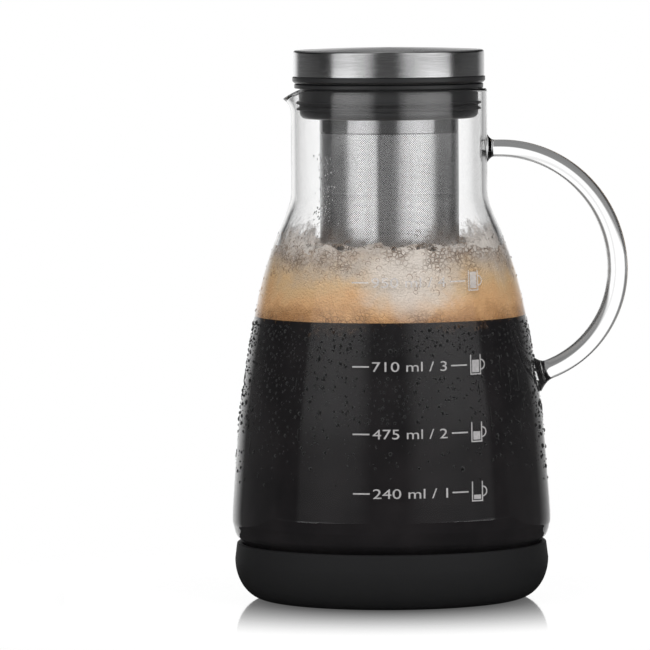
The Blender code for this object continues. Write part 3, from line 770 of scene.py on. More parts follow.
def steel_mesh_etched():
    """Fine steel mesh: staggered holes, painted dark for the shade seen through them, break up its
    reflections.
    """
    material, tree, shader = new_material(
        "steel_mesh_etched", Metallic=1.0, Roughness=0.27, Anisotropic=0.3, Anisotropic_Rotation=0.25
    )
    unrolled = add_node(tree, "ShaderNodeUVMap", {"uv_map": "unrolled"}).outputs[0]
    # The holes lie 0.9 mm apart, as far as they must to show; real ones are near 0.3 mm
    scaled = add_node(
        tree, "ShaderNodeVectorMath", {"operation": "SCALE", "Scale": math.tau / 0.9}, {0: unrolled}
    ).outputs[0]
    split = add_node(tree, "ShaderNodeSeparateXYZ", {}, {"Vector": scaled})
    wave_u = add_node(tree, "ShaderNodeMath", {"operation": "SINE"}, {0: split.outputs["X"]}).outputs[0]
    wave_v = add_node(tree, "ShaderNodeMath", {"operation": "SINE"}, {0: split.outputs["Y"]}).outputs[0]
    product = add_node(
        tree, "ShaderNodeMath", {"operation": "MULTIPLY"}, {0: wave_u, 1: wave_v}
    ).outputs[0]
    hole = add_node(
        tree,
        "ShaderNodeMapRange",
        {"interpolation_type": "SMOOTHSTEP", "From Min": 0.2, "From Max": 0.65},
        {"Value": product},
    ).outputs[0]
    # Painted shade: the holes are painted dark grey for the shaded inside of the filter that shows through
    # them
    shade = add_node(tree, "ShaderNodeValToRGB", {}, {"Fac": hole})
    set_ramp(shade, [(0.0, linear("#ECECED")), (1.0, linear("#585859"))])
    bump = add_node(
        tree, "ShaderNodeBump", {"Strength": 0.5, "Distance": 0.15 * MM, "invert": True}, {"Height": hole}
    ).outputs[0]
    around = add_node(tree, "ShaderNodeTangent", ROUND_THE_AXIS).outputs[0]
    connect(tree, shader, {"Base Color": shade.outputs["Color"], "Normal": bump, "Tangent": around})
    return material


def plastic_moulded():
    """Black moulded plastic: satin, with a soft gloss and a trace of mould texture."""
    material, tree, shader = new_material(
        "plastic_moulded", Base_Color=linear("#2B2B2C"), Roughness=0.32, IOR=1.5
    )
    place = add_node(tree, "ShaderNodeTexCoord").outputs["Object"]
    grain = add_node(
        tree, "ShaderNodeTexNoise", {"Scale": 1 / (0.7 * MM), "Detail": 2.0}, {"Vector": place}
    ).outputs["Fac"]
    rough = add_node(
        tree, "ShaderNodeMapRange", {"To Min": 0.26, "To Max": 0.4}, {"Value": grain}
    ).outputs[0]
    bump = add_node(
        tree, "ShaderNodeBump", {"Strength": 0.15, "Distance": 0.05 * MM}, {"Height": grain}
    ).outputs[0]
    connect(tree, shader, {"Roughness": rough, "Normal": bump})
    return material


def arc(centre, radii, start, end, count=12):
    """Points on an ellipse in the (radius, height) plane, both ends included, angles in degrees."""
    angles = [math.radians(start + (end - start) * i / count) for i in range(count + 1)]
    return [(centre[0] + radii[0] * math.cos(a), centre[1] + radii[1] * math.sin(a)) for a in angles]


def rounded(corners, points=6):
    """An outline from (radius, height, rounding) corners, each rounding drawn as an arc."""
    outline = [corners[0][:2]]
    for before, corner, after in zip(corners, corners[1:], corners[2:]):
        if not corner[2]:
            outline.append(corner[:2])
            continue
        here = Vector(corner[:2])
        back = (Vector(before[:2]) - here).normalized()
        ahead = (Vector(after[:2]) - here).normalized()
        half = back.angle(ahead) / 2
        middle = here + (back + ahead).normalized() * corner[2] / math.sin(half)
        start = here + back * corner[2] / math.tan(half) - middle
        sweep = start.angle_signed(here + ahead * corner[2] / math.tan(half) - middle)
        for i in range(points + 1):
            turn = sweep * i / points
            outline.append(
                (
                    middle.x + start.x * math.cos(turn) + start.y * math.sin(turn),
                    middle.y - start.x * math.sin(turn) + start.y * math.cos(turn),
                )
            )
    outline.append(corners[-1][:2])
    return outline


def between(a, b, c, d, t):
    """The value at a share t of the way from b to c, on a smooth run through a, b, c and d."""
    return (2 * b + (c - a) * t + (2 * a - 5 * b + 4 * c - d) * t**2 + (3 * b - 3 * c + d - a) * t**3) / 2


def smooth_through(points):
    """A smooth curve through the points."""
    ends = [points[0], *points, points[-1]]
    curve = [points[0]]
    for four in zip(ends, ends[1:], ends[2:], ends[3:]):
        for i in range(1, CURVE_STEPS + 1):
            curve.append(tuple(between(*values, i / CURVE_STEPS) for values in zip(*four)))
    return curve


def offset_outline(outline, distance):
    """The outline moved sideways, towards its right as it is walked."""
    moved = []
    for i, (radius, height) in enumerate(outline):
        along = Vector(outline[min(i + 1, len(outline) - 1)]) - Vector(outline[max(i - 1, 0)])
        along.normalize()
        moved.append((radius + along.y * distance, height - along.x * distance))
    return moved


def turned(name, outline, closed=False):
    """A piece turned about Z: one point is drawn out along the outline, then spun full circle."""
    bpy.ops.object.select_all(action="DESELECT")
    bpy.ops.mesh.primitive_plane_add(size=MM)
    piece = bpy.context.object
    piece.name = piece.data.name = name
    bpy.ops.object.mode_set(mode="EDIT")
    bpy.ops.mesh.merge(type="CENTER")
    bpy.ops.transform.translate(value=(outline[0][0], 0, outline[0][1]))
    path = [*outline, outline[0]] if closed else outline
    for (r0, z0), (r1, z1) in zip(path, path[1:]):
        bpy.ops.mesh.extrude_region_move(TRANSFORM_OT_translate={"value": (r1 - r0, 0, z1 - z0)})
    bpy.ops.mesh.select_all(action="SELECT")
    bpy.ops.mesh.spin(steps=TURN_STEPS, angle=math.tau, center=(0, 0, 0), axis=(0, 0, 1))
    bpy.ops.mesh.select_all(action="SELECT")
    bpy.ops.mesh.remove_doubles(threshold=WELD_DISTANCE)
    bpy.ops.mesh.normals_make_consistent(inside=False)
    bpy.ops.object.mode_set(mode="OBJECT")
    bpy.ops.object.shade_smooth_by_angle(angle=SMOOTH_ANGLE)
    return piece


def finish_piece(piece, material, body, replaced=()):
    """Gives a piece its material, hangs it from the empty of the body it rides on, and hides the CAD nodes
    it stands for.
    """
    piece.data.materials.clear()
    piece.data.materials.append(material)
    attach(piece, body)
    if replaced:
        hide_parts(*replaced)


def jug_outside():
    """Down the jug's outside, from the foot of the lip to the middle of its bottom."""
    body = [
        (
            NECK_RADIUS + (BODY_RADIUS - NECK_RADIUS) * radius_share,
            BODY_WIDEST_Z + (NECK_FOOT_Z - BODY_WIDEST_Z) * height_share,
        )
        for height_share, radius_share in reversed(SHOULDER_SHARES)
    ]
    foot_radius = BODY_RADIUS - FOOT_TUCK
    swell = [
        (
            foot_radius + FOOT_TUCK * radius_share,
            BOOT_HEIGHT + (BODY_WIDEST_Z - BOOT_HEIGHT) * height_share,
        )
        for height_share, radius_share in reversed(FOOT_SWELL_SHARES)
    ]
    corner = (FOOT_ROUND_RUN, FOOT_ROUND_Z - JUG_BOTTOM_Z)
    foot = arc((foot_radius - FOOT_ROUND_RUN, FOOT_ROUND_Z), corner, 0, -90)
    side = [(min(radius, BODY_RADIUS), height) for radius, height in smooth_through(body + swell[1:])]
    return [(NECK_RADIUS, RIM_Z - LIP_DEPTH), *side, *foot, (0, JUG_BOTTOM_Z)]


def jug_inside():
    """Down the jug's inside, from the foot of the lip to the middle of its floor."""
    floor_z = JUG_BOTTOM_Z + GLASS_FLOOR
    walls = offset_outline(jug_outside(), GLASS_WALL)
    inside = [(radius, max(height, floor_z)) for radius, height in walls[:-1]]
    return [*inside, (0, floor_z)]


def radius_at(outline, height):
    """The radius of a downward outline at a height."""
    for (r1, z1), (r2, z2) in zip(outline, outline[1:]):
        if z2 <= height <= z1 and z1 > z2:
            return r2 + (r1 - r2) * (height - z2) / (z1 - z2)
    return outline[0][0]


def lip_pull(x, y, z):
    """How strongly the glassblower's tool has drawn a point of the rim out and down, from 0 to 1."""
    angle = abs(math.atan2(y, -x))
    share = (z - RIM_Z + LIP_DEPTH) / LIP_DEPTH
    if angle >= LIP_HALF_ANGLE or share <= 0 or math.hypot(x, y) < NECK_RADIUS / 2:
        return 0
    return math.cos(math.pi / 2 * angle / LIP_HALF_ANGLE) ** 2 * share**LIP_CURL


def flared(radius, flare, share):
    """The rod's radius near a foot: it flares towards the glass, where share is 0."""
    return radius + flare * (1 - share) ** 2


def handle_path():
    """(x, z, radius) along the rod's middle line, from inside the neck's wall to inside the body's."""
    bend_x = NECK_RADIUS + HANDLE_TOP_RUN
    upper = (HANDLE_REACH - bend_x, HANDLE_TOP_Z - HANDLE_WIDEST_Z)
    centre = (HANDLE_REACH - HANDLE_LOWER_RADIUS, HANDLE_WIDEST_Z)
    lower = (HANDLE_LOWER_RADIUS, HANDLE_LOWER_RADIUS)
    foot_x = radius_at(jug_outside(), HANDLE_WIDEST_Z - HANDLE_LOWER_RADIUS)
    foot_angle = -math.degrees(math.acos((foot_x - centre[0]) / HANDLE_LOWER_RADIUS))
    flare_angle = foot_angle + math.degrees(FOOT_LOW_LENGTH / HANDLE_LOWER_RADIUS)
    buried_angle = foot_angle - math.degrees(ROD_BURIED / HANDLE_LOWER_RADIUS)
    shares = [i / FLARE_STEPS for i in range(FLARE_STEPS + 1)]

    path = [(NECK_RADIUS - ROD_BURIED, HANDLE_TOP_Z, flared(ROD_TOP_RADIUS, FOOT_TOP_FLARE, 0))]
    for share in shares:
        x = NECK_RADIUS + FOOT_TOP_LENGTH * share
        path.append((x, HANDLE_TOP_Z, flared(ROD_TOP_RADIUS, FOOT_TOP_FLARE, share)))
    for i, (x, z) in enumerate(arc((bend_x, HANDLE_WIDEST_Z), upper, 90, 0, BEND_STEPS)):
        path.append((x, z, ROD_TOP_RADIUS + (ROD_SIDE_RADIUS - ROD_TOP_RADIUS) * i / BEND_STEPS))
    for i, (x, z) in enumerate(arc(centre, lower, 0, flare_angle, BEND_STEPS)[1:]):
        path.append((x, z, ROD_SIDE_RADIUS + (ROD_LOW_RADIUS - ROD_SIDE_RADIUS) * (i + 1) / BEND_STEPS))
    for share in reversed(shares[:-1]):
        angle = foot_angle + (flare_angle - foot_angle) * share
        x, z = arc(centre, lower, angle, angle, 1)[0]
        path.append((x, z, flared(ROD_LOW_RADIUS, FOOT_LOW_FLARE, share)))
    x, z = arc(centre, lower, buried_angle, buried_angle, 1)[0]
    path.append((x, z, flared(ROD_LOW_RADIUS, FOOT_LOW_FLARE, 0)))
    return path


def handle_rod():
    """The bent rod as a mesh, from a curve whose thickness swells at its two feet."""
    curve = bpy.data.curves.new("handle_rod", "CURVE")
    curve.dimensions = "3D"
    curve.bevel_depth = 1
    curve.bevel_resolution = ROD_ROUNDNESS
    curve.use_fill_caps = True
    path = handle_path()
    spline = curve.splines.new("POLY")
    spline.points.add(len(path) - 1)
    for point, (x, z, radius) in zip(spline.points, path):
        point.co = (x, 0, z, 1)
        point.radius = radius
    rod = bpy.data.objects.new("handle_rod", curve)
    bpy.context.scene.collection.objects.link(rod)
    bpy.ops.object.select_all(action="DESELECT")
    bpy.context.view_layer.objects.active = rod
    rod.select_set(True)
    bpy.ops.object.convert(target="MESH")
    bpy.ops.object.mode_set(mode="EDIT")
    bpy.ops.mesh.select_all(action="SELECT")
    bpy.ops.mesh.remove_doubles(threshold=WELD_DISTANCE)
    bpy.ops.object.mode_set(mode="OBJECT")
    return bpy.context.object


def blown_jug():
    """The jug with its pulled lip and its fused rod handle, one clear body of glass."""
    rim_round = GLASS_WALL / 2
    rows = [RIM_Z - rim_round - (LIP_DEPTH - rim_round) * i / LIP_ROWS for i in range(LIP_ROWS)]
    inner_radius = NECK_RADIUS - GLASS_WALL
    rim = arc((NECK_RADIUS - rim_round, RIM_Z - rim_round), (rim_round, rim_round), 180, 0)
    outline = [
        *reversed(jug_inside()),
        *((inner_radius, height) for height in reversed(rows[1:])),
        *rim,
        *((NECK_RADIUS, height) for height in rows[1:]),
        *jug_outside(),
    ]
    jug = turned("glass_jug", outline)
    for vertex in jug.data.vertices:
        pull = lip_pull(*vertex.co)
        outer = vertex.co.xy.length > NECK_RADIUS - rim_round
        vertex.co.x -= (LIP_REACH + outer * LIP_BEAD) * pull
        vertex.co.z -= (LIP_DROP + outer * LIP_BEAD) * pull
    rod = handle_rod()
    bpy.context.view_layer.objects.active = jug
    fuse = jug.modifiers.new("fuse handle", "BOOLEAN")
    fuse.operation = "UNION"
    fuse.object = rod
    bpy.ops.object.modifier_apply(modifier=fuse.name)
    bpy.data.objects.remove(rod)
    bpy.ops.object.select_all(action="DESELECT")
    jug.select_set(True)
    bpy.ops.object.shade_smooth_by_angle(angle=JUG_SMOOTH_ANGLE)
    return jug


def coffee_body():
    """The coffee, wetting the wall up to its level line."""
    skin = offset_outline(jug_inside()[:-1], -WETTING)
    below = [point for point in skin if point[1] < COFFEE_TOP_Z]
    top_radius = radius_at(skin, COFFEE_TOP_Z)
    outline = [(0, COFFEE_TOP_Z), (top_radius, COFFEE_TOP_Z), *below, (0, below[-1][1])]
    return turned("black_coffee", outline)


def foam_body():
    """The foam above the coffee, with a lumpy top that climbs the wall."""
    skin = offset_outline(jug_inside()[:-1], -WETTING)
    side = []
    for i in range(FOAM_SIDE_ROWS + 1):
        height = FOAM_TOP_Z - (FOAM_TOP_Z - COFFEE_TOP_Z) * i / FOAM_SIDE_ROWS
        side.append((radius_at(skin, height), height))
    top_radius = side[0][0]
    top = [(top_radius * i / FOAM_TOP_RINGS, FOAM_TOP_Z) for i in range(FOAM_TOP_RINGS)]
    foam = turned("coffee_foam", [*top, *side, (0, COFFEE_TOP_Z)])
    for vertex in foam.data.vertices:
        lift = (vertex.co.z - COFFEE_TOP_Z) / (FOAM_TOP_Z - COFFEE_TOP_Z)
        lumps = noise.fractal(vertex.co / FOAM_LUMP_SIZE, *FOAM_LUMP_NOISE)
        vertex.co.z += FOAM_LUMP_HEIGHT * lumps * max(lift, 0) ** 3
    return foam


def wall_frame(outline, angle, height, proud=0.0):
    """A place on a turned wall: a matrix with Z out of the wall and Y up along it. Angle 0 is the front."""
    step = MM
    radius = radius_at(outline, height)
    lean = (radius_at(outline, height + step) - radius_at(outline, height - step)) / (2 * step)
    out = Vector((math.sin(angle), -math.cos(angle), -lean)).normalized()
    across = Vector((math.cos(angle), math.sin(angle), 0))
    up = out.cross(across)
    spot = Vector((radius * math.sin(angle), -radius * math.cos(angle), height)) + out * proud
    return Matrix((across, up, out)).transposed().to_4x4(), spot


def bead(segments, rings, cut):
    """A unit ball cut flat below and closed: the pattern for drops and bubbles."""
    bpy.ops.object.select_all(action="DESELECT")
    bpy.ops.mesh.primitive_uv_sphere_add(segments=segments, ring_count=rings, radius=1)
    pattern = bpy.context.object
    bpy.ops.object.mode_set(mode="EDIT")
    bpy.ops.mesh.select_all(action="SELECT")
    bpy.ops.mesh.bisect(plane_co=(0, 0, cut), plane_no=(0, 0, 1), use_fill=True, clear_inner=True)
    bpy.ops.mesh.select_all(action="SELECT")
    bpy.ops.mesh.normals_make_consistent(inside=False)
    bpy.ops.object.mode_set(mode="OBJECT")
    return pattern


def scattered(name, pattern, places):
    """Copies of a pattern at (matrix, spot, scales), gathered into one piece; the pattern is used up."""
    corners = [vertex.co.copy() for vertex in pattern.data.vertices]
    faces = [tuple(polygon.vertices) for polygon in pattern.data.polygons]
    vertices = []
    copies = []
    for turn, spot, scales in places:
        base = len(vertices)
        grown = turn @ Matrix.Diagonal((*scales, 1))
        vertices.extend(grown @ corner + spot for corner in corners)
        copies.extend(tuple(base + index for index in face) for face in faces)
    bpy.data.objects.remove(pattern)
    mesh = bpy.data.meshes.new(name)
    mesh.from_pydata(vertices, [], copies)
    mesh.shade_smooth()
    mesh.set_sharp_from_angle(angle=DROP_SMOOTH_ANGLE)
    piece = bpy.data.objects.new(name, mesh)
    bpy.context.scene.collection.objects.link(piece)
    return piece


def spaced(places, spot, radius, cell=DROP_CELL):
    """Says whether a drop clears those already placed, and notes it if so."""
    key = tuple(int(c // cell) for c in spot)
    for dx in (-1, 0, 1):
        for dy in (-1, 0, 1):
            for dz in (-1, 0, 1):
                for other, width in places.get((key[0] + dx, key[1] + dy, key[2] + dz), ()):
                    if (other - spot).length < (width + radius) * DROP_SPACING:
                        return False
    places.setdefault(key, []).append((spot, radius))
    return True


def on_a_mark(angle, height, spot):
    """Says whether a place on the glass lies on a printed mark, where the enamel sheds water."""
    along = angle * spot.xy.length
    beside = TICK_ENDS[0][0] - CUP_LINE < along < CUP_MIDDLE + CUP_WIDTH
    return beside and any(abs(height - mark) < CUP_HEIGHT / 2 for mark, _ in MARKS)


def drop_height():
    """A height before the coffee, by chance, and more often near its top."""
    return (DROP_FOOT_MM + DROP_SPAN_MM * random.random() ** 0.5) * MM


def water_drops():
    """Condensation on the glass: drops and trickles before the coffee, mist between, clear beads above."""
    outside = jug_outside()
    taken = {}
    drops = []
    beads = []
    mist = []

    def settle(group, angle, height, radius, stretch=1.0):
        """Adds a drop to its group, unless it would lie on a mark or touch another."""
        turn, spot = wall_frame(outside, angle, height, -DROP_SINK)
        if not on_a_mark(angle, height, spot) and spaced(taken, spot, radius):
            rise = min(radius * random.uniform(*DROP_RISE_SHARES), DROP_RISE) + DROP_SINK
            group.append((turn, spot, (radius, radius * stretch, rise)))

    for _ in range(TRICKLE_COUNT):
        angle = math.radians(random.uniform(*TRICKLE_ANGLES) * random.choice(TRICKLE_SIDES))
        height = random.uniform(*TRICKLE_HEIGHTS_MM) * MM
        radius = random.uniform(*TRICKLE_RADII_MM) * MM
        settle(drops, angle, height, radius, random.uniform(*TRICKLE_STRETCH))
    for _ in range(DROP_COUNT):
        height = drop_height()
        radius_mm = random.lognormvariate(math.log(DROP_RADIUS_MM), DROP_VARIETY)
        radius = min(radius_mm, DROP_LARGEST_MM) * MM
        settle(drops, random.uniform(-math.pi, math.pi), height, radius, random.uniform(*DROP_STRETCH))
    for index in range(SIDE_BEAD_COUNT):
        middle, spread, bottom, top = SIDE_BEADS[index % len(SIDE_BEADS)]
        angle = math.radians(random.gauss(middle, spread))
        height = random.uniform(bottom, top)
        settle(beads, angle, height, random.uniform(*SIDE_BEAD_RADII_MM) * MM, SIDE_BEAD_STRETCH)
    for _ in range(MIST_COUNT):
        height = drop_height()
        settle(mist, random.uniform(-math.pi, math.pi), height, random.uniform(*MIST_RADII_MM) * MM)
    return (
        scattered("water_drops", bead(*DROP_PATTERN), drops),
        scattered("water_mist", bead(*MIST_PATTERN), mist),
        scattered("water_beads", bead(*DROP_PATTERN), beads),
    )


def froth_bubbles():
    """Clear bubbles piled where the foam meets the glass and the filter."""
    inside = offset_outline(jug_inside()[:-1], -WETTING)
    places = []
    for index in range(FROTH_COUNT):
        # Three bubbles in five are in the first cluster, and the other clusters share the rest
        middle, spread = FROTH_CLUSTERS[0 if index % 5 < 3 else 1 + index % 3]
        angle = math.radians(random.gauss(middle, spread))
        radius = min(random.lognormvariate(math.log(FROTH_RADIUS_MM), FROTH_VARIETY), FROTH_LARGEST_MM) * MM
        height = FOAM_TOP_Z + random.uniform(*FROTH_RISE_MM) * MM
        wall = radius_at(inside, height) - radius - FROTH_WALL_GAP
        away = wall - abs(random.gauss(0, FROTH_INWARD_MM)) * MM
        away = max(away, FILTER_RADIUS + radius + FROTH_FILTER_GAP)
        spot = Vector((away * math.sin(angle), -away * math.cos(angle), height))
        places.append((Matrix.Identity(4), spot, (radius,) * 3))
    return scattered("froth_bubbles", bead(*FROTH_PATTERN), places)


def wall_bubbles():
    """Bubbles pressed flat against the glass, at the coffee's edge and in the froth above it."""
    skin = offset_outline(jug_inside()[:-1], -WETTING)
    taken = {}
    places = []
    for middle, spread, height, height_spread, count, usual_radius in BUBBLE_CLUSTERS:
        for _ in range(count):
            angle = math.radians(random.gauss(middle, spread))
            radius_mm = random.lognormvariate(math.log(usual_radius / MM), BUBBLE_VARIETY)
            radius = min(radius_mm * MM, BUBBLE_LARGEST)
            turn, spot = wall_frame(skin, angle, height + random.gauss(0, height_spread))
            if spaced(taken, spot, radius * BUBBLE_SPACING, BUBBLE_CELL):
                rise = min(radius * BUBBLE_FLATNESS, BUBBLE_RISE)
                places.append((turn, spot, (radius, radius, rise)))
    return scattered("wall_bubbles", bead(*BUBBLE_PATTERN), places)


def foam_film():
    """The thin patchy film that foam leaves on the wall above it."""
    inside = jug_inside()[:-1]
    wall = []
    for i in range(FILM_ROWS + 1):
        height = FOAM_TOP_Z + FILM_HEIGHT - (FILM_HEIGHT + FILM_OVERLAP) * i / FILM_ROWS
        wall.append((radius_at(inside, height), height))
    outer = offset_outline(wall, FILM_OUTER_GAP)
    inner = offset_outline(wall, FILM_INNER_GAP)
    return turned("foam_film", [*outer, *reversed(inner)], closed=True)


def flat_patch(left, right, bottom, top):
    """A flat strip in the plane of the marks, cut across so that it can follow the glass."""
    bpy.ops.mesh.primitive_plane_add(size=1)
    patch = bpy.context.object
    bpy.ops.object.mode_set(mode="EDIT")
    bpy.ops.transform.resize(value=(right - left, top - bottom, 1))
    bpy.ops.transform.translate(value=((left + right) / 2, (bottom + top) / 2, 0))
    bpy.ops.mesh.subdivide(number_cuts=PATCH_CUTS)
    bpy.ops.object.mode_set(mode="OBJECT")
    return patch


def letters(words):
    """The words of a mark as a flat mesh, drawn to its height and width."""
    bpy.ops.object.text_add()
    piece = bpy.context.object
    piece.data.body = words
    piece.data.size = DIGIT_HEIGHT / DIGIT_SHARE
    bpy.ops.object.convert(target="MESH")
    piece = bpy.context.object
    low = min(vertex.co.x for vertex in piece.data.vertices)
    high = max(vertex.co.x for vertex in piece.data.vertices)
    for vertex in piece.data.vertices:
        vertex.co.x = LETTERS_START + (vertex.co.x - low) * LETTERS_WIDTH / (high - low)
        vertex.co.y -= DIGIT_HEIGHT / 2
    return piece


def cup_sign(fill_share):
    """A plain straight cup with an ear, drawn in outline and filled up to a share of its height."""
    left = CUP_MIDDLE - CUP_WIDTH / 2
    right = CUP_MIDDLE + CUP_WIDTH / 2
    foot = -CUP_HEIGHT / 2
    top = CUP_HEIGHT / 2
    fill_top = foot + 2 * CUP_LINE + (CUP_HEIGHT - 3 * CUP_LINE) * fill_share
    strips = [
        flat_patch(left, left + CUP_LINE, foot, top),
        flat_patch(right - CUP_LINE, right, foot, top),
        flat_patch(left + CUP_LINE, right - CUP_LINE, foot, foot + CUP_LINE),
        flat_patch(left + CUP_FILL_INSET, right - CUP_FILL_INSET, foot + CUP_FILL_INSET, fill_top),
    ]
    bpy.ops.object.select_all(action="DESELECT")
    bpy.ops.mesh.primitive_circle_add(
        vertices=CUP_EAR_SIDES, radius=CUP_EAR_RADIUS, location=(right, 0, 0)
    )
    ear = bpy.context.object
    bpy.ops.object.transform_apply(location=True)
    bpy.ops.object.mode_set(mode="EDIT")
    bpy.ops.mesh.extrude_region_move()
    bpy.ops.transform.resize(value=(CUP_EAR_HOLE, CUP_EAR_HOLE, 1), center_override=(right, 0, 0))
    bpy.ops.mesh.select_all(action="SELECT")
    bpy.ops.mesh.bisect(plane_co=(right, 0, 0), plane_no=(1, 0, 0), clear_inner=True)
    bpy.ops.object.mode_set(mode="OBJECT")
    return [*strips, ear]


def volume_marks():
    """The printed scale: ticks, plain volumes and a filling cup, wrapped onto the glass."""
    outside = jug_outside()
    pieces = []
    for index, (height, words) in enumerate(MARKS):
        flat = [flat_patch(start, end, -TICK_HEIGHT / 2, TICK_HEIGHT / 2) for start, end in TICK_ENDS]
        flat.append(letters(words))
        flat.extend(cup_sign((index + 1) / len(MARKS)))
        for piece in flat:
            for vertex in piece.data.vertices:
                place = height + vertex.co.y
                angle = vertex.co.x / radius_at(outside, place)
                vertex.co = wall_frame(outside, angle, place, INK_THICKNESS)[1]
        pieces.extend(flat)
    bpy.ops.object.select_all(action="DESELECT")
    for piece in pieces:
        piece.select_set(True)
    bpy.context.view_layer.objects.active = pieces[0]
    bpy.ops.object.join()
    marks = bpy.context.object
    marks.name = marks.data.name = "volume_marks"
    bpy.ops.object.mode_set(mode="EDIT")
    bpy.ops.mesh.select_all(action="SELECT")
    bpy.ops.mesh.remove_doubles(threshold=WELD_DISTANCE)
    bpy.ops.object.mode_set(mode="OBJECT")
    thick = marks.modifiers.new("ink thickness", "SOLIDIFY")
    thick.thickness = INK_THICKNESS
    thick.offset = 1
    bpy.ops.object.modifier_apply(modifier=thick.name)
    return marks


def boot_outline():
    """The boot in section: a round well for the glass, a thin rim and a bellied side that tucks under."""
    belly = (BOOT_BELLY_RADIUS - BOOT_FLAT_RADIUS, FOOT_ROUND_Z)
    flat_radius = BODY_RADIUS - FOOT_TUCK - FOOT_ROUND_RUN
    well = (BOOT_BORE_RADIUS - flat_radius, FOOT_ROUND_Z - BOOT_FLOOR)
    rim = rounded(
        [
            (BOOT_BORE_RADIUS, FOOT_ROUND_Z, 0),
            (BOOT_BORE_RADIUS, BOOT_HEIGHT, BOOT_EDGE_ROUND),
            (BOOT_TOP_RADIUS, BOOT_HEIGHT, BOOT_EDGE_ROUND),
            (BOOT_BELLY_RADIUS, FOOT_ROUND_Z, 0),
        ]
    )
    inner = arc((flat_radius, FOOT_ROUND_Z), well, -90, 0)
    outer = arc((BOOT_FLAT_RADIUS, FOOT_ROUND_Z), belly, 0, -90, BELLY_STEPS)
    return [(0, BOOT_FLOOR), *inner, *rim[1:-1], *outer, (0, 0)]


def groove(plug_radius, foot_z, top_z):
    """Corners of the groove that a soft ring sits in, down the side of a plug."""
    root = plug_radius - SEAL_GROOVE_DEPTH
    return [(plug_radius, top_z, 0), (root, top_z, 0), (root, foot_z, 0), (plug_radius, foot_z, 0)]


def collar_outline():
    """The collar in section: a flange on the glass rim, and a plug with a shelf for the steel sleeve."""
    seal_low, seal_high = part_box("filter_collar_seal")
    return rounded(
        [
            (COLLAR_BORE_RADIUS + EDGE_ROUND, COLLAR_TOP_Z, 0),
            (COLLAR_RADIUS, COLLAR_TOP_Z, EDGE_ROUND),
            (COLLAR_RADIUS, COLLAR_FLANGE_Z, EDGE_ROUND),
            (COLLAR_PLUG_RADIUS, COLLAR_FLANGE_Z, 0),
            *groove(COLLAR_PLUG_RADIUS, seal_low.z, seal_high.z),
            (COLLAR_PLUG_RADIUS, COLLAR_BOTTOM_Z, COLLAR_PLUG_ROUND),
            (FILTER_RADIUS + EDGE_ROUND, COLLAR_BOTTOM_Z, EDGE_ROUND),
            (FILTER_RADIUS + EDGE_ROUND, COLLAR_BOTTOM_Z + COLLAR_SHELF, 0),
            (COLLAR_BORE_RADIUS, COLLAR_BOTTOM_Z + COLLAR_SHELF, 0),
            (COLLAR_BORE_RADIUS, COLLAR_TOP_Z - EDGE_ROUND, 0),
        ]
    )


def lip_ring_outline(node, plug_radius):
    """A soft ring that sits in a plug's groove and reaches out with two thin lips."""
    low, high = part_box(node)
    root_radius = plug_radius - SEAL_GROOVE_DEPTH
    tip_radius = high.x
    waist_radius = (root_radius + tip_radius) / 2
    lip = SEAL_LIP_THICKNESS
    return rounded(
        [
            (root_radius, high.z, 0),
            (waist_radius, high.z, 0),
            (tip_radius, high.z - lip / 2, lip / 4),
            (tip_radius, high.z - lip, lip / 4),
            (waist_radius, high.z - 2 * lip, lip / 3),
            (waist_radius, low.z + 2 * lip, lip / 3),
            (tip_radius, low.z + lip, lip / 4),
            (tip_radius, low.z + lip / 2, lip / 4),
            (waist_radius, low.z, 0),
            (root_radius, low.z, 0),
        ],
        points=3,
    )


def sleeve_outline():
    """The sleeve in section: a flange to hang by, a short band, and a tongue inside the mesh tube."""
    inner = FILTER_RADIUS - STEEL_WALL
    tongue = inner - EDGE_ROUND
    flange_z = SLEEVE_TOP_Z - STEEL_WALL
    return rounded(
        [
            (inner, SLEEVE_TOP_Z, 0),
            (SLEEVE_FLANGE_RADIUS, SLEEVE_TOP_Z, STEEL_WALL / 3),
            (SLEEVE_FLANGE_RADIUS, flange_z, STEEL_WALL / 3),
            (FILTER_RADIUS, flange_z, STEEL_WALL / 3),
            (FILTER_RADIUS, SLEEVE_FOOT_Z, STEEL_WALL / 4),
            (tongue, SLEEVE_FOOT_Z, 0),
            (tongue, SLEEVE_FOOT_Z - TONGUE_LENGTH, 0),
            (tongue - STEEL_WALL, SLEEVE_FOOT_Z - TONGUE_LENGTH, 0),
            (tongue - STEEL_WALL, SLEEVE_FOOT_Z + STEEL_WALL, 0),
            (inner, SLEEVE_FOOT_Z + STEEL_WALL, 0),
        ]
    )


def cup_outline():
    """The end cup in section: a rounded pan with a tongue that stands inside the mesh tube."""
    inner = FILTER_RADIUS - STEEL_WALL
    tongue = inner - EDGE_ROUND
    floor_z = FILTER_BOTTOM_Z + STEEL_WALL
    top_z = MESH_FOOT_Z - EDGE_ROUND
    return rounded(
        [
            (0, floor_z, 0),
            (inner, floor_z, CUP_ROUND - STEEL_WALL),
            (inner, top_z - STEEL_WALL, 0),
            (tongue - STEEL_WALL, top_z - STEEL_WALL, 0),
            (tongue - STEEL_WALL, top_z + TONGUE_LENGTH, 0),
            (tongue, top_z + TONGUE_LENGTH, 0),
            (tongue, top_z, 0),
            (FILTER_RADIUS, top_z, STEEL_WALL / 4),
            (FILTER_RADIUS, FILTER_BOTTOM_Z, CUP_ROUND),
            (0, FILTER_BOTTOM_Z, 0),
        ]
    )


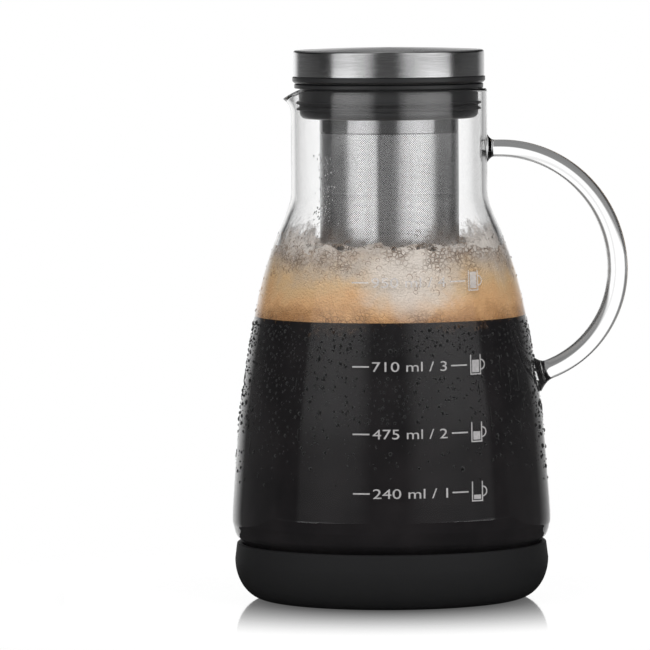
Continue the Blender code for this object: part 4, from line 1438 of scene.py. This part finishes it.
def mesh_tube():
    """The mesh tube, with its sheet unrolled as a UV map in millimetres and its seam standing proud."""
    outer = FILTER_RADIUS
    inner = FILTER_RADIUS - STEEL_WALL
    length = MESH_TOP_Z - MESH_FOOT_Z
    outside = [(outer, MESH_TOP_Z - length * i / MESH_ROWS) for i in range(MESH_ROWS + 1)]
    tube = turned("filter_mesh_tube", [*outside, (inner, MESH_FOOT_Z), (inner, MESH_TOP_Z)], closed=True)
    half_width = SEAM_WIDTH / 2 / FILTER_RADIUS * SEAM_CATCH
    for vertex in tube.data.vertices:
        angle = math.atan2(vertex.co.y, vertex.co.x)
        off = abs((angle - SEAM_ANGLE + math.pi) % math.tau - math.pi)
        if off < half_width and math.hypot(vertex.co.x, vertex.co.y) > outer - STEEL_WALL / 2:
            vertex.co.x *= 1 + SEAM_RISE / outer
            vertex.co.y *= 1 + SEAM_RISE / outer
    layer = tube.data.uv_layers.new(name="unrolled")
    for polygon in tube.data.polygons:
        middle = math.atan2(polygon.center.y, polygon.center.x)
        for index in polygon.loop_indices:
            co = tube.data.vertices[tube.data.loops[index].vertex_index].co
            angle = math.atan2(co.y, co.x)
            angle += math.tau * round((middle - angle) / math.tau)
            layer.data[index].uv = (angle * outer / MM, co.z / MM)
    return tube


def lid_core_outline():
    """The lid's core in section: a boss under the cap, a chamfered flange and a hollow plug."""
    seal_low, seal_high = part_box("lid_plug_seal")
    boss_radius = CAP_RADIUS - STEEL_WALL - EDGE_ROUND
    hollow_radius = LID_PLUG_RADIUS - LID_PLUG_WALL
    return rounded(
        [
            (0, LID_BOSS_TOP_Z, 0),
            (boss_radius, LID_BOSS_TOP_Z, MOULDED_ROUND),
            (boss_radius, LID_FLANGE_TOP_Z, 0),
            (LID_FLANGE_RADIUS, LID_FLANGE_TOP_Z, EDGE_ROUND),
            (LID_FLANGE_RADIUS, LID_FLANGE_Z + LID_FLANGE_CHAMFER, EDGE_ROUND / 2),
            (LID_FLANGE_RADIUS - LID_FLANGE_CHAMFER, LID_FLANGE_Z, EDGE_ROUND / 2),
            (LID_PLUG_RADIUS, LID_FLANGE_Z, 0),
            *groove(LID_PLUG_RADIUS, seal_low.z, seal_high.z),
            (LID_PLUG_RADIUS, LID_PLUG_BOTTOM_Z, MOULDED_ROUND),
            (hollow_radius, LID_PLUG_BOTTOM_Z, MOULDED_ROUND),
            (hollow_radius, LID_FLANGE_TOP_Z, MOULDED_ROUND),
            (0, LID_FLANGE_TOP_Z, 0),
        ]
    )


def cap_side(radius, foot_z, top_z, rounding):
    """One face of the steel cap in section, from the middle of its dome to its lower edge."""
    edge_z = top_z - CAP_DOME
    dome_radius = (radius**2 + CAP_DOME**2) / (2 * CAP_DOME)
    dome = [
        (
            (radius - rounding) * i / CAP_RINGS,
            top_z - dome_radius + math.sqrt(dome_radius**2 - (radius * i / CAP_RINGS) ** 2),
            0,
        )
        for i in range(CAP_RINGS)
    ]
    return rounded([*dome, (radius, edge_z, rounding), (radius, foot_z, 0)])


def cap_outline():
    """The steel cap in section, one sheet thick."""
    outside = cap_side(CAP_RADIUS, CAP_FOOT_Z, CAP_TOP_Z, CAP_ROUND)
    inside = cap_side(CAP_RADIUS - STEEL_WALL, CAP_FOOT_Z, CAP_TOP_Z - STEEL_WALL, CAP_ROUND - STEEL_WALL)
    return [*outside, *reversed(inside)]


def build_floor():
    """A white lacquered table top, which mirrors the boot near by and fades into the white room."""
    bpy.ops.object.select_all(action="DESELECT")
    bpy.ops.mesh.primitive_circle_add(
        vertices=FLOOR_SIDES, radius=FLOOR_RADIUS, fill_type="NGON", location=(0, 0, -FLOOR_DROP)
    )
    floor = bpy.context.object
    floor.name = "studio_floor"
    material = bpy.data.materials.new("lacquer_sprayed_white")
    material.use_nodes = True
    tree = material.node_tree
    tree.nodes.remove(tree.nodes["Principled BSDF"])
    place = add_node(tree, "ShaderNodeTexCoord").outputs["Object"]
    away = add_node(tree, "ShaderNodeVectorMath", {"operation": "LENGTH"}, {0: place}).outputs["Value"]
    polish = add_node(
        tree,
        "ShaderNodeMapRange",
        {
            "interpolation_type": "SMOOTHSTEP",
            "From Min": FLOOR_POLISH[0],
            "From Max": FLOOR_POLISH[1],
            "To Min": 1.15,
            "To Max": 0.0,
        },
        {"Value": away},
    ).outputs[0]
    grazing = add_node(tree, "ShaderNodeLayerWeight", {"Blend": 0.35}).outputs["Facing"]
    share = add_node(
        tree, "ShaderNodeMath", {"operation": "MULTIPLY"}, {0: polish, 1: grazing}
    ).outputs[0]
    fade = add_node(
        tree,
        "ShaderNodeMapRange",
        {"interpolation_type": "SMOOTHSTEP", "From Min": FLOOR_FADE[0], "From Max": FLOOR_FADE[1]},
        {"Value": away},
    ).outputs[0]
    path = add_node(tree, "ShaderNodeLightPath")
    paleness = add_node(
        tree,
        "ShaderNodeMath",
        {"operation": "MULTIPLY", 1: FLOOR_GLOW},
        {0: path.outputs["Is Camera Ray"]},
    ).outputs[0]
    shaded = add_node(tree, "ShaderNodeBsdfDiffuse", {"Color": linear("#FFFFFF")}).outputs[0]
    white = add_node(tree, "ShaderNodeEmission", {"Color": linear("#FFFFFF"), "Strength": 1.0}).outputs[0]
    paint = add_node(tree, "ShaderNodeMixShader", {}, {0: paleness, 1: shaded, 2: white}).outputs[0]
    mirror = add_node(
        tree, "ShaderNodeBsdfGlossy", {"Color": linear("#FFFFFF"), "Roughness": 0.06}
    ).outputs[0]
    lacquer = add_node(tree, "ShaderNodeMixShader", {}, {0: share, 1: paint, 2: mirror}).outputs[0]
    hidden = add_node(
        tree, "ShaderNodeMath", {"operation": "MAXIMUM"}, {0: fade, 1: path.outputs["Is Glossy Ray"]}
    ).outputs[0]
    nothing = add_node(tree, "ShaderNodeBsdfTransparent").outputs[0]
    surface = add_node(tree, "ShaderNodeMixShader", {}, {0: hidden, 1: lacquer, 2: nothing}).outputs[0]
    connect(tree, tree.nodes["Material Output"], {"Surface": surface})
    floor.data.materials.append(material)


# The room as polished faces mirror it: degrees round the object from the camera, and a level of light.
# Two tall soft boxes stand in front, the room is dark beside them and the backdrop is white behind.
MIRRORED_ROUND = (
    (-180, 1.0),
    (-160, 1.0),
    (-150, 0.7),
    (-141, 0.12),
    (-100, 0.06),
    (-74, 0.06),
    (-71, 0.95),
    (-50, 1.3),
    (-26, 0.95),
    (-15, 0.12),
    (9, 0.12),
    (22, 0.95),
    (50, 1.3),
    (77, 0.95),
    (81, 0.05),
    (136, 0.08),
    (148, 0.38),
    (180, 1.0),
)
# The same by height, as the sine of the angle above the horizon, in front and behind. The dim gap near
# -0.04 in front keeps the neck's glass from hazing the mesh behind it.
MIRRORED_FRONT = (
    (-1.0, 0.08),
    (-0.45, 0.08),
    (-0.25, 1.65),
    (-0.056, 1.65),
    (-0.045, 0.45),
    (-0.041, 0.5),
    (-0.031, 1.5),
    (-0.026, 1.65),
    (-0.014, 0.22),
    (0.04, 0.24),
    (0.1, 0.45),
    (0.3, 0.8),
    (0.6, 0.5),
    (0.75, 0.06),
    (1.0, 0.3),
)
MIRRORED_BACK = (
    (-1.0, 1.0),
    (0.05, 1.0),
    (0.09, 0.6),
    (0.14, 0.1),
    (0.2, 0.04),
    (0.35, 0.04),
    (0.6, 0.4),
    (1.0, 0.3),
)
# What clear glass bends into sight: the backdrop's edges and dark flags beside it draw the glass's outline
BENT_ROUND = (
    (-180, 1.12),
    (-154, 1.12),
    (-146, 0.2),
    (-128, 0.2),
    (-118, 0.75),
    (-80, 0.75),
    (-70, 0.3),
    (70, 0.3),
    (80, 0.75),
    (118, 0.75),
    (128, 0.2),
    (146, 0.2),
    (154, 1.12),
    (165, 1.12),
    (168, 0.9),
    (171, 0.9),
    (174, 1.12),
    (180, 1.12),
)
BENT_HEIGHTS = ((-1.0, 0.22), (-0.18, 0.22), (-0.12, 1.0), (0.45, 1.0), (0.6, 0.3), (1.0, 0.3))
ROOM_LIGHT = 0.5  # what plain surfaces gather from the room


def grey_levels(stops, low, high):
    """Light levels as a ramp's grey stops; they are written on a scale that runs from low to high."""
    return [((at - low) / (high - low), (level, level, level, 1)) for at, level in stops]


def build_world():
    """The room: white to the camera, plain grey to matte faces, soft boxes and flags to gloss and glass."""
    world = bpy.data.worlds.new("studio")
    bpy.context.scene.world = world
    world.use_nodes = True
    tree = world.node_tree
    place = add_node(tree, "ShaderNodeTexCoord").outputs["Generated"]
    split = add_node(tree, "ShaderNodeSeparateXYZ", {}, {"Vector": place})
    towards_camera = add_node(
        tree, "ShaderNodeMath", {"operation": "MULTIPLY", 1: -1.0}, {0: split.outputs["Y"]}
    ).outputs[0]
    angle = add_node(
        tree, "ShaderNodeMath", {"operation": "ARCTAN2"}, {0: split.outputs["X"], 1: towards_camera}
    ).outputs[0]
    turn_share = add_node(
        tree, "ShaderNodeMath", {"operation": "MULTIPLY_ADD", 1: 1 / math.tau, 2: 0.5}, {0: angle}
    ).outputs[0]
    height_share = add_node(
        tree, "ShaderNodeMath", {"operation": "MULTIPLY_ADD", 1: 0.5, 2: 0.5}, {0: split.outputs["Z"]}
    ).outputs[0]
    behind = add_node(
        tree, "ShaderNodeMapRange", {"From Min": 0.0, "From Max": 0.1}, {"Value": split.outputs["Y"]}
    ).outputs[0]
    levels = []
    for share, stops, low, high in (
        (height_share, MIRRORED_FRONT, -1, 1),
        (height_share, MIRRORED_BACK, -1, 1),
        (turn_share, MIRRORED_ROUND, -180, 180),
        (height_share, BENT_HEIGHTS, -1, 1),
        (turn_share, BENT_ROUND, -180, 180),
    ):
        ramp = add_node(tree, "ShaderNodeValToRGB", {}, {"Fac": share})
        set_ramp(ramp, grey_levels(stops, low, high))
        levels.append(ramp.outputs["Color"])
    in_front, at_back, mirrored_round, bent_height, bent_round = levels
    choose = {"data_type": "RGBA"}
    multiply = {"data_type": "RGBA", "blend_type": "MULTIPLY", 0: 1.0}
    mirrored_height = add_node(
        tree, "ShaderNodeMix", choose, {0: behind, 6: in_front, 7: at_back}
    ).outputs[2]
    mirrored = add_node(
        tree, "ShaderNodeMix", multiply, {6: mirrored_round, 7: mirrored_height}
    ).outputs[2]
    bent = add_node(tree, "ShaderNodeMix", multiply, {6: bent_round, 7: bent_height}).outputs[2]
    # A ray that met nothing polished or clear sees the plain room, and one from the camera sees white
    path = add_node(tree, "ShaderNodeLightPath")
    after_gloss = add_node(
        tree, "ShaderNodeMath", {"operation": "GREATER_THAN", 1: 0.5}, {0: path.outputs["Glossy Depth"]}
    ).outputs[0]
    plain = {**choose, 6: (ROOM_LIGHT, ROOM_LIGHT, ROOM_LIGHT, 1)}
    white = {**choose, 7: (1, 1, 1, 1)}
    seen = add_node(
        tree, "ShaderNodeMix", plain, {0: path.outputs["Is Transmission Ray"], 7: bent}
    ).outputs[2]
    seen = add_node(tree, "ShaderNodeMix", choose, {0: after_gloss, 6: seen, 7: mirrored}).outputs[2]
    seen = add_node(tree, "ShaderNodeMix", white, {0: path.outputs["Is Camera Ray"], 6: seen}).outputs[2]
    connect(tree, tree.nodes["Background"], {"Color": seen})


def reflected_card(name, size, place, turn, level):
    """A flat card of light or shade that only reflections see."""
    bpy.ops.object.select_all(action="DESELECT")
    bpy.ops.mesh.primitive_plane_add(size=1, location=place, rotation=(math.radians(turn), 0, 0))
    card = bpy.context.object
    card.name = name
    card.scale = (*size, 1)
    material = bpy.data.materials.new(name)
    material.use_nodes = True
    tree = material.node_tree
    tree.nodes.remove(tree.nodes["Principled BSDF"])
    glow = add_node(tree, "ShaderNodeEmission", {"Strength": level}).outputs[0]
    connect(tree, tree.nodes["Material Output"], {"Surface": glow})
    card.data.materials.append(material)
    card.visible_camera = False
    card.visible_diffuse = False
    card.visible_transmission = False
    card.visible_shadow = False


def soft_lamp(name, place, size, watts):
    """A broad lamp aimed at the middle of the object; the room's bright bands stand for its reflection."""
    data = bpy.data.lights.new(name, "AREA")
    data.size = size
    data.energy = watts
    lamp = bpy.data.objects.new(name, data)
    bpy.context.scene.collection.objects.link(lamp)
    lamp.location = place
    lamp.rotation_euler = (Vector(LAMPS_AIM) - Vector(place)).to_track_quat("-Z", "Y").to_euler()
    lamp.visible_glossy = False
    lamp.visible_transmission = False


def place_camera():
    """The camera at the photograph's place and angle of view."""
    data = bpy.data.cameras.new("photo_camera")
    data.sensor_width = SENSOR_WIDTH
    data.lens = SENSOR_WIDTH * FOCAL_PIXELS / PHOTO_PIXELS
    data.clip_end = CAMERA_SIGHT
    camera = bpy.data.objects.new("photo_camera", data)
    bpy.context.scene.collection.objects.link(camera)
    turn = Matrix.Rotation(math.pi / 2 + CAMERA_PITCH, 4, "X") @ Matrix.Rotation(-CAMERA_ROLL, 4, "Z")
    camera.matrix_world = Matrix.Translation((CAMERA_X, -CAMERA_DISTANCE, CAMERA_HEIGHT)) @ turn
    bpy.context.scene.camera = camera


random.seed(SEED)

silicone = silicone_moulded("silicone_moulded_matte", "#1F1F20", 0.62)
seal = silicone_moulded("silicone_moulded_satin", "#2C2C2D", 0.5)
plastic = plastic_moulded()
pressed = steel_pressed()

boot = turned("silicone_boot", boot_outline())
finish_piece(boot, silicone, "boot", ["base_boot"])

jug = blown_jug()
finish_piece(jug, borosilicate_blown(), "carafe", ["carafe_glass", "carafe_handle"])
finish_piece(coffee_body(), coffee_cold_brewed(), "carafe")
finish_piece(foam_body(), foam_whipped(), "carafe")
finish_piece(froth_bubbles(), bubble_film("bubble_film_clear", "#857769"), "carafe")
finish_piece(wall_bubbles(), bubble_film("bubble_film_brown", "#7A5C42"), "carafe")
finish_piece(foam_film(), foam_dried(), "carafe")
drops, mist, beads = water_drops()
# The drops and the mist both take the beads' painted shade and painted pale rim
water_painted_dark_and_rim = water_over_coffee()
finish_piece(drops, water_painted_dark_and_rim, "carafe")
finish_piece(mist, water_painted_dark_and_rim, "carafe")
finish_piece(beads, water_condensed(), "carafe")
finish_piece(volume_marks(), ink_fired(), "carafe")

collar = turned("filter_collar_moulding", collar_outline(), closed=True)
finish_piece(collar, plastic, "filter", ["filter_collar"])
ring_outline = lip_ring_outline("filter_collar_seal", COLLAR_PLUG_RADIUS)
collar_ring = turned("filter_collar_lip_ring", ring_outline, closed=True)
finish_piece(collar_ring, seal, "filter", ["filter_collar_seal"])
sleeve = turned("filter_sleeve_band", sleeve_outline(), closed=True)
finish_piece(sleeve, pressed, "filter", ["filter_sleeve"])
finish_piece(mesh_tube(), steel_mesh_etched(), "filter", ["filter_mesh"])
end_cup = turned("filter_end_cup", cup_outline())
finish_piece(end_cup, pressed, "filter", ["filter_bottom_cup"])

cap = turned("lid_steel_cap", cap_outline())
finish_piece(cap, steel_brushed(), "lid", ["lid_cap"])
core = turned("lid_black_core", lid_core_outline())
finish_piece(core, plastic, "lid", ["lid_core"])
ring_outline = lip_ring_outline("lid_plug_seal", LID_PLUG_RADIUS)
lid_ring = turned("lid_lip_ring", ring_outline, closed=True)
finish_piece(lid_ring, seal, "lid", ["lid_plug_seal"])

build_floor()
for card in CARDS:
    reflected_card(*card)
build_world()
for soft_box in SOFT_BOXES:
    soft_lamp(*soft_box)
place_camera()
bpy.context.scene.view_settings.view_transform = "Standard"
